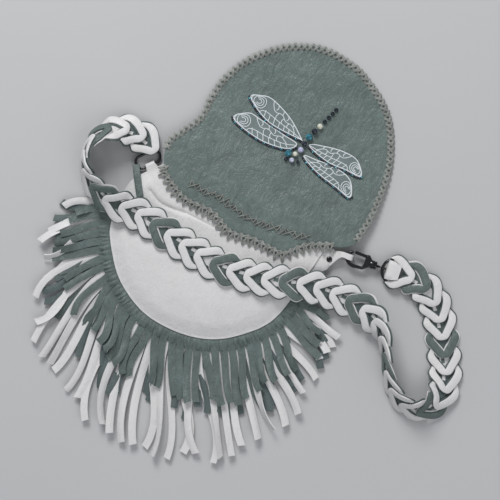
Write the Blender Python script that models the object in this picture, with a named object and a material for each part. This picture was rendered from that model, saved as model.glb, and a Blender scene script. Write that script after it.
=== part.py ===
"""A fringed leather shoulder bag lying on its front, with its flap opened flat.

Metres, +Z up. The flat pouch rests on its front panel. X runs along the mouth, Y from the
body towards the tip of the opened flap. Sizes below are worked in a frame whose Y is zero
on the mouth line; each object is then placed MOUTH_Y further, so that the origin of the
part is the centre of the face it rests on.
"""

import math
import random

import bmesh
import bpy
import numpy as np

# Leather and the clearance between pieces that touch
CURVE_STEPS = 12
LEATHER = 0.0012
FRINGE_LEATHER = 0.0010
GAP = 0.0003

# Body: an empty flat pouch, sewn round its U-shaped edge
BODY_WIDTH = 0.178
BODY_DEPTH = 0.125
MOUTH_GAP = 0.0060
SEAM_ROLL = 0.014
CROWN_RISE = 0.0085
CROWN_START = 0.034
CROWN_RUN = 0.040
CROWN_REACH = 0.050
MOUTH_Y = 0.055
BODY_POINTS = 37
PANEL_RINGS = (1.0, 0.94, 0.84, 0.66, 0.36)

# The seam from the left mouth corner to the right one, as shares of half width and depth
SEAM_SHAPE = (
    (-0.916, 0.019), (-1.072, -0.119), (-1.148, -0.242), (-1.131, -0.512),
    (-1.008, -0.681), (-0.793, -0.854), (-0.464, -0.977), (-0.100, -0.999),
    (0.234, -0.946), (0.506, -0.814), (0.728, -0.607), (0.831, -0.225),
    (0.862, -0.072), (0.899, -0.008),
)

# Flap: laced to the back panel by its lobe, folds just past the mouth line
FLAP_WIDTH = 0.190
FLAP_DEPTH = 0.154
LOBE_DEPTH = 0.028
LOBE_END = 0.0070
FOLD_GAP = 0.00095
FLAP_DROP_RUN = 0.075
FLAP_SETTLE = 0.0012
FLAP_FLOOR = 0.0001
FLAP_POINTS = 58

# The flap's edge anticlockwise from the right fold corner, as shares of half width and depth
FLAP_SHAPE = (
    (0.965, 0.035), (1.045, 0.081), (1.066, 0.163), (1.082, 0.300), (1.029, 0.566),
    (0.812, 0.817), (0.476, 0.956), (0.249, 0.997), (-0.023, 1.000), (-0.286, 0.934),
    (-0.464, 0.847), (-0.607, 0.740), (-0.711, 0.599), (-0.743, 0.460), (-0.741, 0.351),
    (-0.834, 0.236), (-0.915, 0.145), (-0.890, 0.060), (-0.848, 0.000),
)
# The lobe's edge from left to right, as shares of half flap width and lobe depth
LOBE_SHAPE = (
    (-0.834, -0.175), (-0.565, -0.680), (-0.259, -0.700), (-0.049, -1.010),
    (0.180, -0.900), (0.395, -0.914), (0.512, -0.870), (0.643, -0.364), (0.824, -0.029),
)
# The lacing row along the fold, as shares of half flap width and lobe depth
MOUTH_ROW_SHAPE = (
    (-0.556, -0.120), (-0.201, -0.150), (0.102, -0.300), (0.397, -0.200), (0.642, -0.040),
)

# Lacing over the flap's edge
LACE = 0.0009
LACE_INSIDE = 0.0046
LACE_OUTSIDE = 0.0016
ROW_STITCH = 0.0044
LOBE_LOOP = 0.0042
LACING_START = 0.014
LOBE_LACING_END = 0.0015
ROW_WIDTH = 0.0050

# Fringe: three cut layers sewn into the seam
STRIP_WIDTH = 0.0075
STRIP_PITCH = 0.0081
FRINGE_BAND = 0.0100
FRINGE_HEADER = 0.0060
FRINGE_GREY_LENGTH = 0.063
FRINGE_WHITE_LENGTH = 0.100
FRINGE_UNDER_LENGTH = 0.075
FRINGE_START_SHARE = 0.39
FRINGE_LEFT_ANGLE = math.radians(208)
FRINGE_RIGHT_ANGLE = math.radians(349)
FRINGE_BEND = math.radians(6)
FRINGE_SWAY = math.radians(1.2)
FRINGE_SIDE_SHARE = 0.88
FRINGE_DROOP_SHARE = 0.2
FRINGE_CUT_SHARE = 0.03
FRINGE_BEND_STEP = 0.8
FRINGE_LENGTH_SPREAD = (0.94, 1.03)
FRINGE_PHASES = (0.4, 2.1, 4.0)
SHORT_STRIP_STATIONS = (0.5, 1.0)
LONG_STRIP_STATIONS = (0.34, 0.68, 1.0)

# Strap: a chain of slit leather links, each a V whose point lies in the link before it
STRAP_WIDTH = 0.029
LINK_THICKNESS = 0.0038
LINK_PITCH = 0.0152
LINK_LEG_WIDTH = 0.0074
LINK_BRIDGE = 0.0032
TONGUE_CLEAR = 0.0008
LINK_LEG_LENGTH = 0.0222
WHITE_LINKS = 3
STRAP_CLEAR = 0.0004
STRAP_SAMPLES = 660
STRAP_EASE_SAMPLES = 14
# The route's middle line as shares of half body width and body depth, with its roll in degrees
STRAP_ROUTE = (
    (-1.020, 0.050, 0), (-1.160, 0.110, 5), (-1.326, 0.128, 15), (-1.469, 0.106, 36),
    (-1.584, 0.042, 56), (-1.652, -0.050, 70), (-1.657, -0.154, 77), (-1.602, -0.245, 74),
    (-1.517, -0.309, 65), (-1.393, -0.358, 50), (-1.247, -0.386, 33), (-1.080, -0.388, 15),
    (-0.920, -0.372, 4), (-0.758, -0.392, 0), (-0.536, -0.417, 0), (-0.310, -0.440, 0),
    (-0.065, -0.458, 0), (0.130, -0.450, 0), (0.335, -0.428, 0), (0.514, -0.392, 0),
    (0.725, -0.342, 0), (0.922, -0.300, 0), (1.100, -0.285, 0), (1.320, -0.277, 4),
    (1.510, -0.292, 18), (1.660, -0.338, 48), (1.775, -0.420, 74), (1.860, -0.514, 82),
    (1.945, -0.610, 78), (2.060, -0.705, 68), (2.220, -0.770, 60), (2.400, -0.760, 50),
    (2.515, -0.670, 36), (2.538, -0.554, 19), (2.480, -0.450, 5), (2.396, -0.345, 0),
    (2.303, -0.240, 0), (2.210, -0.138, 0), (2.100, -0.045, 0), (1.965, 0.024, 0),
    (1.800, 0.064, 0),
)

# Hardware: a swivel clasp and D-ring on the right, a plain ring on the left
METAL_ROD = 0.0012
CLASP_AXIS_Z = 0.0058
CLASP_BARREL = (1.399, 0.026)
CLASP_ANGLE = math.radians(8)
CLASP_THICKNESS = 0.0050
CLASP_HALF_WIDTH = 0.0074
CLASP_LENGTH = 0.0280
CLASP_ROD = 0.0028
HOOK_BEND_SHARE = 0.70
HOOK_NOSE_DEGREES = 62
HOOK_ROOT_SHARE = 0.85
HOOK_SHOULDER_SHARES = (0.55, 0.97)
HOOK_INSIDE_SHARE = 0.2
HOOK_CROOK_SHARE = 0.4
GATE_PIVOT = (0.0094, 0.0049)
EAR_REACH = 0.0020
BARREL_RADIUS = 0.0032
BARREL_LENGTH = 0.0052
SWIVEL_STEM = 0.0013
SWIVEL_CLEAR = 0.0003
BORE_SHARE = 0.85
STEM_SHARE = 0.8
ROUND_SIDES = 12
PIN_SIDES = 10
EYE_RADIUS = 0.0033
EYE_ROD = 0.0010
GATE_THICKNESS = 0.0024
GATE_WIDTH = 0.0028
PIN_RADIUS = 0.0007
PIN_CLEAR = 0.0002
D_RING_WIDTH = 0.0210
D_RING_DEPTH = 0.0092
RING_LENGTH = 0.0250
RING_WIDTH = 0.0135
RING_Z = 0.0029
RING_CENTRE = (-1.079, -0.004)
RING_ANGLE = math.radians(51)

# Tabs, rivet and the lace at the left corner
TAB_NECK = 0.0052
TAB_BASE = 0.0245
TAB_LOOP_CLEAR = 0.0011
RIVET_RADIUS = 0.0014
RIVET_CAP = 0.0026
RIVET_CAP_HEIGHT = 0.0008
LACE_STRIP_WIDTH = 0.0062
TAB_PLACE_SHARE = 0.13
RIVET_SHARE = 0.42
RIVET_DOME_SHARE = 0.7
TAB_LOOP_TURNS = ((1.0, 0.9), (0.2, 0.8))
TAB_TAPER = (0.5, 0.5, 0.40, 0.28)
TAB_TAIL_WIDTHS = (1.3, 1.5, 1.5)
TAB_NECK_START = 0.30
TAB_TAIL_SHARE = 0.12
LEFT_TAB_SEWN_SHARE = 1.6
LEFT_TAB_BEND_SHARE = 1.5
LEFT_TAB_NECK_SHARE = 0.8
CORNER_LACE = ((-0.985, -0.262), (-1.045, -0.200), (-1.110, -0.130))

# Beaded dragonfly on the flap: bead places and diameters, in metres from mid mouth
BEADS = (
    ("bead_head_teal", 0.0118, 0.0577, 0.0062), ("bead_eye_pale", 0.0176, 0.0598, 0.0048),
    ("bead_eye_bright", 0.0172, 0.0537, 0.0048), ("bead_cheek_dark", 0.0121, 0.0523, 0.0034),
    ("bead_cheek_small", 0.0228, 0.0546, 0.0034), ("bead_thorax_crystal", 0.0204, 0.0652, 0.0056),
    ("bead_thorax_pearl", 0.0209, 0.0714, 0.0052), ("bead_body_teal", 0.0221, 0.0785, 0.0066),
    ("bead_body_pearl", 0.0243, 0.0852, 0.0056), ("bead_body_pale", 0.0266, 0.0911, 0.0054),
    ("bead_tail_1", 0.0286, 0.0967, 0.0040), ("bead_tail_2", 0.0303, 0.1015, 0.0040),
    ("bead_tail_3", 0.0318, 0.1059, 0.0038), ("bead_tail_4", 0.0331, 0.1104, 0.0038),
)
BEAD_SIDES = 7
BEAD_PROFILE = ((0.38, -0.92), (0.92, -0.38), (0.92, 0.38), (0.38, 0.92))
SEED_PROFILE = ((0.62, -1.0), (1.0, -0.45), (1.0, 0.45), (0.62, 1.0))
BEAD_TONES = {
    "teal": "bead_teal", "pale": "bead_pale", "bright": "bead_pale", "crystal": "bead_pale",
}
WING_THICKNESS = 0.0006
WINGS = {
    "wing_upper_left": (
        (-0.0387, 0.0874), (-0.0311, 0.0930), (-0.0206, 0.0942), (0.0000, 0.0862),
        (0.0163, 0.0745), (0.0150, 0.0735), (-0.0157, 0.0752),
    ),
    "wing_lower_left": (
        (-0.0443, 0.0645), (-0.0345, 0.0744), (-0.0229, 0.0738), (0.0010, 0.0706),
        (0.0152, 0.0682), (0.0076, 0.0605), (-0.0168, 0.0578),
    ),
    "wing_upper_right": (
        (0.0255, 0.0722), (0.0390, 0.0774), (0.0562, 0.0803), (0.0693, 0.0783),
        (0.0778, 0.0675), (0.0632, 0.0668), (0.0452, 0.0664),
    ),
    "wing_lower_right": (
        (0.0250, 0.0618), (0.0368, 0.0633), (0.0545, 0.0646), (0.0706, 0.0602),
        (0.0772, 0.0467), (0.0618, 0.0496), (0.0408, 0.0542),
    ),
}
WING_POINTS = 12

# Heights that follow from the stack of leather at the seam
SEAM_LEVEL = LEATHER + 4 * GAP + 3 * FRINGE_LEATHER
MOUTH_LEVEL = max(LEATHER + MOUTH_GAP, SEAM_LEVEL)
LOBE_LEVEL = MOUTH_LEVEL + LEATHER + GAP
HINGE_Z = (MOUTH_LEVEL + LEATHER) / 2
FLAP_START = LOBE_END + FOLD_GAP
FRINGE_TOP = SEAM_LEVEL - GAP

# Colours and surface of each material: base colour, roughness, metallic
FINISHES = {
    "white_leather": ((0.62, 0.61, 0.62), 0.55, 0.0),
    "grey_leather": ((0.125, 0.165, 0.158), 0.5, 0.0),
    "dark_grey_leather": ((0.095, 0.125, 0.12), 0.55, 0.0),
    "sinew_lacing": ((0.30, 0.29, 0.27), 0.6, 0.0),
    "silver_wing": ((0.70, 0.74, 0.76), 0.35, 0.3),
    "black_nickel": ((0.02, 0.02, 0.022), 0.15, 0.9),
    "bead_teal": ((0.03, 0.20, 0.25), 0.1, 0.2),
    "bead_dark": ((0.03, 0.03, 0.035), 0.12, 0.3),
    "bead_pale": ((0.75, 0.80, 0.82), 0.08, 0.1),
}


def clear_scene():
    """Removes what the startup scene holds."""
    for item in list(bpy.data.objects):
        bpy.data.objects.remove(item, do_unlink=True)


def material_for(object_name, finish):
    """A Principled material of the object's own."""
    colour, roughness, metallic = FINISHES[finish]
    material = bpy.data.materials.new(object_name + "_" + finish)
    material.use_nodes = True
    shader = material.node_tree.nodes["Principled BSDF"]
    shader.inputs["Base Color"].default_value = (*colour, 1.0)
    shader.inputs["Roughness"].default_value = roughness
    shader.inputs["Metallic"].default_value = metallic
    return material


def add_object(name, points, faces, finish, origin=(0.0, 0.0, 0.0), smooth=False):
    """Adds a mesh whose points are given from mid mouth, with its origin at the given place."""
    mesh = bpy.data.meshes.new(name)
    local = [tuple(np.asarray(point, float) - np.asarray(origin, float)) for point in points]
    mesh.from_pydata(local, [], [tuple(face) for face in faces])
    shaped = bmesh.new()
    shaped.from_mesh(mesh)
    bmesh.ops.triangulate(shaped, faces=shaped.faces)
    bmesh.ops.recalc_face_normals(shaped, faces=shaped.faces)
    shaped.to_mesh(mesh)
    shaped.free()
    mesh.materials.append(material_for(name, finish))
    item = bpy.data.objects.new(name, mesh)
    item.location = (origin[0], origin[1] + MOUTH_Y, origin[2])
    bpy.context.scene.collection.objects.link(item)
    if smooth:
        mesh.shade_smooth()
        mesh.set_sharp_from_angle(angle=math.radians(50))
    return item


def as_guide(item):
    """Marks a cutter or another helper, which is no part of the bag."""
    item.hide_render = True
    item.display_type = "WIRE"
    return item


def boolean(item, other, operation, overlapping=False):
    """Adds an exact Boolean of item with a guide."""
    modifier = item.modifiers.new(operation.lower(), "BOOLEAN")
    modifier.operation = operation
    modifier.object = as_guide(other)
    modifier.use_self = overlapping
    return item


# Curves and outlines


def curve_through(points, count, closed=False):
    """Evenly spaced points on a smooth curve through the given ones."""
    given = [np.asarray(point, float) for point in points]
    if closed:
        given = [given[-1]] + given + given[:2]
    else:
        given = [2 * given[0] - given[1]] + given + [2 * given[-1] - given[-2]]
    dense = []
    for before, start, end, after in zip(given, given[1:], given[2:], given[3:]):
        for share in np.arange(0, 1, 1 / CURVE_STEPS):
            dense.append(catmull_rom(before, start, end, after, share))
    dense.append(given[-2])
    return resample(np.array(dense), count + 1)[:-1] if closed else resample(np.array(dense), count)


def catmull_rom(before, start, end, after, share):
    """The point at a share of the way from start to end."""
    linear = (end - before) * share
    square = (2 * before - 5 * start + 4 * end - after) * share**2
    cube = (3 * start - before - 3 * end + after) * share**3
    return start + (linear + square + cube) / 2


def lengths_along(line):
    """The length from the first point to each point of a line."""
    steps = np.linalg.norm(np.diff(line, axis=0), axis=1)
    return np.concatenate([[0.0], np.cumsum(steps)])


def resample(line, count):
    """The same line with count points at equal steps."""
    along = lengths_along(line)
    return points_at(line, along, np.linspace(0, along[-1], count))


def points_at(line, along, places):
    """Points of a line at given lengths from its start."""
    return np.stack([np.interp(places, along, line[:, axis]) for axis in range(line.shape[1])], axis=-1)


def directions_along(line):
    """Unit tangents of a line."""
    tangents = np.gradient(line, axis=0)
    return tangents / np.linalg.norm(tangents, axis=1)[:, None]


def clipped(outline, level, above):
    """The part of a closed outline above or below a line of constant Y."""
    kept = []
    sign = 1 if above else -1
    for here, after in zip(outline, np.roll(outline, -1, axis=0)):
        inside = sign * (here[1] - level) >= 0
        if inside:
            kept.append(here)
        if inside != (sign * (after[1] - level) >= 0):
            share = (level - here[1]) / (after[1] - here[1])
            kept.append(here + share * (after - here))
    return np.array(kept)


def seam_line(count):
    """Points along the seam from the left mouth corner to the right one."""
    scale = (BODY_WIDTH / 2, BODY_DEPTH)
    return curve_through(np.array(SEAM_SHAPE) * scale, count)


def flap_outline(count):
    """The whole leather of flap and lobe, anticlockwise from the lobe's left end."""
    lobe = np.array(LOBE_SHAPE) * (FLAP_WIDTH / 2, LOBE_DEPTH)
    flap = np.array(FLAP_SHAPE) * (FLAP_WIDTH / 2, FLAP_DEPTH)
    return curve_through(np.concatenate([lobe, flap]), count, closed=True)


# Heights of the leather


def smooth_step(value):
    """Rises smoothly from zero to one as the value does."""
    share = np.clip(value, 0, 1)
    return share * share * (3 - 2 * share)


def seam_distance(point, seam):
    """Distance from a point to the seam."""
    starts, ends = seam[:-1], seam[1:]
    runs = ends - starts
    shares = np.sum((point - starts) * runs, axis=1) / np.sum(runs * runs, axis=1)
    nearest = starts + np.clip(shares, 0, 1)[:, None] * runs
    return float(np.min(np.linalg.norm(nearest - point, axis=1)))


def back_level(point, seam):
    """Height of the back panel's underside."""
    distance = seam_distance(point, seam)
    side = smooth_step(distance / SEAM_ROLL) * (MOUTH_LEVEL - SEAM_LEVEL)
    dome = 1 - (1 - min(distance / CROWN_REACH, 1)) ** 2
    crown = smooth_step((-point[1] - CROWN_START) / CROWN_RUN) * dome * CROWN_RISE
    return SEAM_LEVEL + float(side + crown)


def flap_level(y):
    """Height of the flap's underside: down from the fold, then flat on the table."""
    drop = LOBE_LEVEL * (1 - (y - LOBE_END) / FLAP_DROP_RUN)
    return FLAP_FLOOR + (drop + math.sqrt(drop * drop + FLAP_SETTLE**2)) / 2


# Sheets, rods and other simple solids


def thick_sheet(bottom, faces, thickness):
    """Points and faces of a sheet with a top above each bottom point and walls round its edge."""
    count = len(bottom)
    top = [(x, y, z + thickness) for x, y, z in bottom]
    walls = {}
    for face in faces:
        for start, end in zip(face, face[1:] + face[:1]):
            if (end, start) in walls:
                del walls[(end, start)]
            else:
                walls[(start, end)] = (start, end, end + count, start + count)
    upper = [tuple(index + count for index in face) for face in faces]
    lower = [tuple(reversed(face)) for face in faces]
    return list(bottom) + top, upper + lower + list(walls.values())


def ringed_sheet(outline, rings, centre, level, thickness):
    """A sheet of concentric rings inside an outline, at heights that level gives."""
    points, faces = [], []
    count = len(outline)
    for ring in rings:
        for corner in outline:
            place = centre + ring * (corner - centre)
            points.append((*place, level(place)))
    points.append((centre[0], centre[1], level(centre)))
    for ring in range(len(rings) - 1):
        for index in range(count):
            after = (index + 1) % count
            inner, outer = (ring + 1) * count, ring * count
            faces.append((outer + index, outer + after, inner + after, inner + index))
    last = (len(rings) - 1) * count
    for index in range(count):
        faces.append((last + index, last + (index + 1) % count, len(points) - 1))
    return thick_sheet(points, faces, thickness)


def rowed_sheet(outline, level, thickness):
    """A sheet whose height depends on Y alone, in rows from its straight lower edge to its tip."""
    lowest = np.flatnonzero(outline[:, 1] < outline[:, 1].min() + GAP)
    outline = np.roll(outline, -int(lowest[np.argmax(outline[lowest, 0])]), axis=0)
    tip = int(np.argmax(outline[:, 1]))
    right, left = outline[: tip + 1], outline[tip:][::-1]
    points = []
    for y in sorted({round(float(y), 5) for y in outline[:, 1] if y < outline[tip, 1] - GAP}):
        for side in (left, right):
            points.append((float(np.interp(y, side[:, 1], side[:, 0])), y, level(y)))
    count = len(points)
    points.append((*outline[tip], level(outline[tip, 1])))
    faces = [(row, row + 1, row + 3, row + 2) for row in range(0, count - 2, 2)]
    faces.append((count - 2, count - 1, count))
    return thick_sheet(points, faces, thickness)


def flat_plate(outline, low, high):
    """An upright prism over an outline."""
    count = len(outline)
    points = [(x, y, low) for x, y in outline] + [(x, y, high) for x, y in outline]
    sides = [(i, (i + 1) % count, (i + 1) % count + count, i + count) for i in range(count)]
    return points, [tuple(range(count))[::-1], tuple(range(count, 2 * count))] + sides


def lofted(sections, closed=False):
    """A solid through sections that all have the same number of points."""
    width = len(sections[0])
    points = [tuple(point) for section in sections for point in section]
    faces = []
    spans = len(sections) if closed else len(sections) - 1
    for span in range(spans):
        here, after = span * width, (span + 1) % len(sections) * width
        for side in range(width):
            other = (side + 1) % width
            faces.append((here + side, here + other, after + other, after + side))
    if not closed:
        last = (len(sections) - 1) * width
        faces.append(tuple(range(width))[::-1])
        faces.append(tuple(range(last, last + width)))
    return points, faces


def rod_along(line, radius, sides, up, closed=False):
    """A round rod along a line, with its sides counted from the up direction."""
    line = np.asarray(line, float)
    if closed:
        tangents = np.roll(line, -1, axis=0) - np.roll(line, 1, axis=0)
    else:
        tangents = np.gradient(line, axis=0)
    sections = []
    for centre, tangent in zip(line, tangents):
        across = np.cross(tangent, up)
        across /= np.linalg.norm(across)
        lift = np.cross(across, tangent)
        lift /= np.linalg.norm(lift)
        angles = 2 * math.pi * np.arange(sides) / sides
        sections.append([centre + radius * (math.cos(a) * across + math.sin(a) * lift) for a in angles])
    return lofted(sections, closed)


def ribbon_along(line, half_widths, across, thickness):
    """A flat strip along a line: across gives its width direction at each point."""
    line = np.asarray(line, float)
    tangents = directions_along(line)
    sections = []
    for centre, tangent, half, side in zip(line, tangents, half_widths, across):
        side = np.asarray(side, float) / np.linalg.norm(side)
        normal = np.cross(side, tangent)
        normal *= thickness / 2 / np.linalg.norm(normal)
        left, right = centre - half * side, centre + half * side
        sections.append([left - normal, right - normal, right + normal, left + normal])
    return lofted(sections)


# The body


def build_panels(seam):
    """Front panel on the table and back panel over it, open along the mouth."""
    front = flat_plate(seam, 0.0, LEATHER)
    add_object("front_panel", *front, "white_leather")
    centre = np.array((seam[:, 0].mean(), -BODY_DEPTH * 0.42))
    back = ringed_sheet(seam, PANEL_RINGS, centre, lambda point: back_level(point, seam), LEATHER)
    add_object("back_panel", *back, "white_leather", smooth=True)


# The fringe


def strip_line(base, angle, bend, length, stations):
    """Middle points of one strip from its base outwards."""
    points, place, done = [], np.array(base, float), 0.0
    for station in stations:
        step = length * (station - done)
        heading = angle + bend * (station + done) / 2
        place = place + step * np.array((math.cos(heading), math.sin(heading)))
        points.append((place, angle + bend * station))
        done = station
    return points


def fringe_sheet(seam, length, level, phase, draw, stations):
    """Bottom points and faces of one fringe layer: a sewn band with cut strips."""
    along = lengths_along(seam)
    middle = len(seam) // 2
    first_depth = BODY_DEPTH * FRINGE_START_SHARE
    start = np.interp(first_depth, -seam[:middle, 1], along[:middle])
    end = np.interp(-first_depth, seam[middle:, 1], along[middle:])
    count = max(3, round((end - start) / STRIP_PITCH))
    pitch = (end - start) / count
    tangents = directions_along(seam)
    droop = level - FRINGE_DROOP_SHARE * (level - floor_level(level))
    points, faces = [], []
    for index in range(count):
        share = (index + 0.5) / count
        cuts = start + pitch * (index + np.array((FRINGE_CUT_SHARE, 1 - FRINGE_CUT_SHARE)))
        places = points_at(seam, along, cuts)
        outward = points_at(tangents, along, cuts) @ np.array(((0, -1), (1, 0)))
        first = len(points)
        for place, normal in zip(places, outward):
            points.append((*(place - FRINGE_HEADER * normal), level))
            points.append((*(place + FRINGE_BAND * normal), droop))
        faces.append((first, first + 1, first + 3, first + 2))
        if index:
            faces.append((first - after_cut, first - after_cut + 1, first + 1, first))
        side = 1 - FRINGE_SIDE_SHARE * 0.5 * (1 - math.sin(math.pi * share)) ** 1.5
        reach = length * side * draw.uniform(*FRINGE_LENGTH_SPREAD)
        angle = FRINGE_LEFT_ANGLE + share * (FRINGE_RIGHT_ANGLE - FRINGE_LEFT_ANGLE)
        angle += draw.uniform(-FRINGE_SWAY, FRINGE_SWAY)
        bend = FRINGE_BEND * math.sin(FRINGE_BEND_STEP * index + phase)
        base = (np.array(points[first + 1][:2]) + np.array(points[first + 3][:2])) / 2
        before = (first + 1, first + 3)
        for place, heading in strip_line(base, angle, bend, reach, stations):
            side_way = STRIP_WIDTH / 2 * np.array((-math.sin(heading), math.cos(heading)))
            here = len(points)
            points.append((*(place - side_way), floor_level(level)))
            points.append((*(place + side_way), floor_level(level)))
            faces.append((before[0], here, here + 1, before[1]))
            before = (here, here + 1)
        after_cut = len(points) - first - 2
    return points, faces


def floor_level(level):
    """Height of a fringe layer once it has drooped to the table."""
    return level - (LEATHER + GAP)


def build_fringe(seam):
    """Three layers between the panels, the shortest on top as seen from the back."""
    step = FRINGE_LEATHER + GAP
    first = LEATHER + GAP
    layers = (
        ("fringe_front_grey", FRINGE_UNDER_LENGTH, "dark_grey_leather", SHORT_STRIP_STATIONS),
        ("fringe_middle_white", FRINGE_WHITE_LENGTH, "white_leather", LONG_STRIP_STATIONS),
        ("fringe_back_grey", FRINGE_GREY_LENGTH, "grey_leather", SHORT_STRIP_STATIONS),
    )
    for order, (name, length, finish, stations) in enumerate(layers):
        level, phase = first + order * step, FRINGE_PHASES[order]
        sheet = fringe_sheet(seam, length, level, phase, random.Random(name), stations)
        add_object(name, *thick_sheet(*sheet, FRINGE_LEATHER), finish)


# The flap with its lobe and lacing


def build_flap():
    """The lobe laced on the back panel, and the flap that turns about the fold."""
    outline = flap_outline(FLAP_POINTS)
    lobe = clipped(outline, LOBE_END, above=False)
    add_object("flap_lobe", *flat_plate(lobe, LOBE_LEVEL, LOBE_LEVEL + LEATHER), "grey_leather")
    flap = clipped(outline, FLAP_START, above=True)
    sheet = rowed_sheet(flap, flap_level, LEATHER)
    add_object("flap_panel", *sheet, "grey_leather", origin=(0, 0, HINGE_Z), smooth=True)
    add_object("flap_edge_lacing", *edge_lacing(), "sinew_lacing", origin=(0, 0, HINGE_Z))
    add_object("lobe_edge_lacing", *lobe_lacing(), "sinew_lacing")
    add_object("mouth_lacing", *mouth_lacing(), "sinew_lacing")


def lacing_section(edge, outward, level, inside, outside):
    """An L over an edge: along its outer side and over its top."""
    top = LEATHER + GAP
    near, far = edge + outward * GAP, edge + outward * (GAP + outside)
    inner = edge - outward * inside
    corners = [(near, 0), (far, 0), (far, top + LACE), (inner, top + LACE), (inner, top), (near, top)]
    return [(*place, level(place[1]) + lift) for place, lift in corners]


def outward_of(line):
    """Unit normals on the right-hand side of a line."""
    tangents = directions_along(line)
    return np.stack([tangents[:, 1], -tangents[:, 0]], axis=1)


def edge_between(level, above):
    """The stitches on the flap's or the lobe's edge beyond a line of constant Y."""
    corners = flap_outline(FLAP_POINTS)
    middles = (corners + np.roll(corners, -1, axis=0)) / 2
    stitches = np.stack([corners, middles], axis=1).reshape(-1, 2)
    inside = stitches[:, 1] > level if above else stitches[:, 1] < level
    first = int(np.argmax(inside & ~np.roll(inside, 1)))
    return np.roll(stitches, -first, axis=0)[: int(inside.sum())]


def edge_lacing():
    """Cross-laced sinew over the flap's edge, with a scallop at each second stitch."""
    line = edge_between(LACING_START, above=True)
    sections = []
    for index, (edge, outward) in enumerate(zip(line, outward_of(line))):
        full = index % 2
        inside = LACE_INSIDE - (1 - full) * LACE
        outside = LACE_OUTSIDE - (1 - full) * LACE
        sections.append(lacing_section(edge, outward, flap_level, inside, outside))
    return lofted(sections)


def lobe_lacing():
    """Lacing along the lobe's edge, with a small loop over the back panel at each stitch."""
    line = edge_between(LOBE_LACING_END, above=False)
    sections = []
    for index, (edge, outward) in enumerate(zip(line, outward_of(line))):
        outside = LOBE_LOOP if index % 2 else LACE
        sections.append(lacing_section(edge, outward, lambda y: LOBE_LEVEL, LACE_INSIDE, outside))
    return lofted(sections)


def mouth_lacing():
    """The second lacing row, along the fold on top of the lobe."""
    route = np.array(MOUTH_ROW_SHAPE) * (FLAP_WIDTH / 2, LOBE_DEPTH)
    rough = curve_through(route, 50)
    line = resample(rough, round(lengths_along(rough)[-1] / ROW_STITCH))
    base = LOBE_LEVEL + LEATHER + GAP
    sections = []
    for index, (centre, outward) in enumerate(zip(line, outward_of(line))):
        reach = outward * ROW_WIDTH / 2 * (1.0 if index % 2 else 0.7)
        low, high = centre + reach, centre - reach
        sections.append([(*low, base), (*low, base + LACE), (*high, base + LACE), (*high, base)])
    return lofted(sections)


# The dragonfly


def build_dragonfly():
    """Four thin wings and a row of beads sewn on the flap."""
    origin = (0, 0, HINGE_Z)
    for name, shape in WINGS.items():
        outline = curve_through(shape, WING_POINTS, closed=True)
        base = LEATHER + GAP
        points, faces = flat_plate(outline, base, base + WING_THICKNESS)
        raised = [(x, y, z + flap_level(y)) for x, y, z in points]
        add_object(name, raised, faces, "silver_wing", origin=origin)
    for name, x, y, size in BEADS:
        build_bead(name, x, y, size, origin)


def build_bead(name, x, y, size, origin):
    """A faceted round bead resting on the flap, or a short seed bead on the tail."""
    radius = size / 2
    is_seed = name.startswith("bead_tail")
    height = flap_level(y) + LEATHER + GAP + radius
    sections = []
    for share, lift in SEED_PROFILE if is_seed else BEAD_PROFILE:
        level = height + lift * radius
        sections.append([(x + dx, y + dy, level) for dx, dy in disc(share * radius, BEAD_SIDES)])
    tone = BEAD_TONES.get(name.rsplit("_", 1)[-1], "bead_dark")
    add_object(name, *lofted(sections), tone, origin=origin)


# The strap


def ground_top(place, seam):
    """Height of what the strap passes over: the pouch, its left ring, the fringe or the table."""
    if within(place, seam):
        return back_level(place, seam) + LEATHER
    if np.linalg.norm(place - ring_place(0, 0, 0)[:2]) < RING_LENGTH:
        return RING_Z + METAL_ROD
    if np.linalg.norm(place - clasp_place(bar_place(), 0, 0)[:2]) < D_RING_WIDTH:
        return CLASP_AXIS_Z - LINK_THICKNESS / 2
    beside_fringe = place[1] < STRIP_WIDTH - BODY_DEPTH * FRINGE_START_SHARE
    reached = seam_distance(place, seam) < FRINGE_GREY_LENGTH
    return FRINGE_TOP if beside_fringe and reached else 0.0


def within(place, outline):
    """Whether a place lies inside a closed outline."""
    inside = False
    for here, after in zip(outline, np.roll(outline, -1, axis=0)):
        if (here[1] > place[1]) != (after[1] > place[1]):
            share = (place[1] - here[1]) / (after[1] - here[1])
            inside ^= bool(place[0] < here[0] + share * (after[0] - here[0]))
    return inside


def strap_route():
    """Even places of the strap's middle line with its roll, the roll scaled to hardly count as length."""
    route = [(x * BODY_WIDTH / 2, y * BODY_DEPTH, math.radians(roll) * GAP) for x, y, roll in STRAP_ROUTE]
    end = clasp_place(bar_place() - METAL_ROD - STRAP_CLEAR, 0, 0)
    route.append((end[0], end[1], 0.0))
    line = softened(curve_through(route, STRAP_SAMPLES), STRAP_EASE_SAMPLES)
    return line[:, :2], line[:, 2] / GAP


def softened(values, reach):
    """Values averaged with their neighbours, the two ends kept in place."""
    before = 2 * values[0] - values[reach:0:-1]
    after = 2 * values[-1] - values[-2 : -reach - 2 : -1]
    padded = np.concatenate([before, values, after])
    return np.stack([padded[i : i + 2 * reach + 1].mean(axis=0) for i in range(len(values))])


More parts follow.
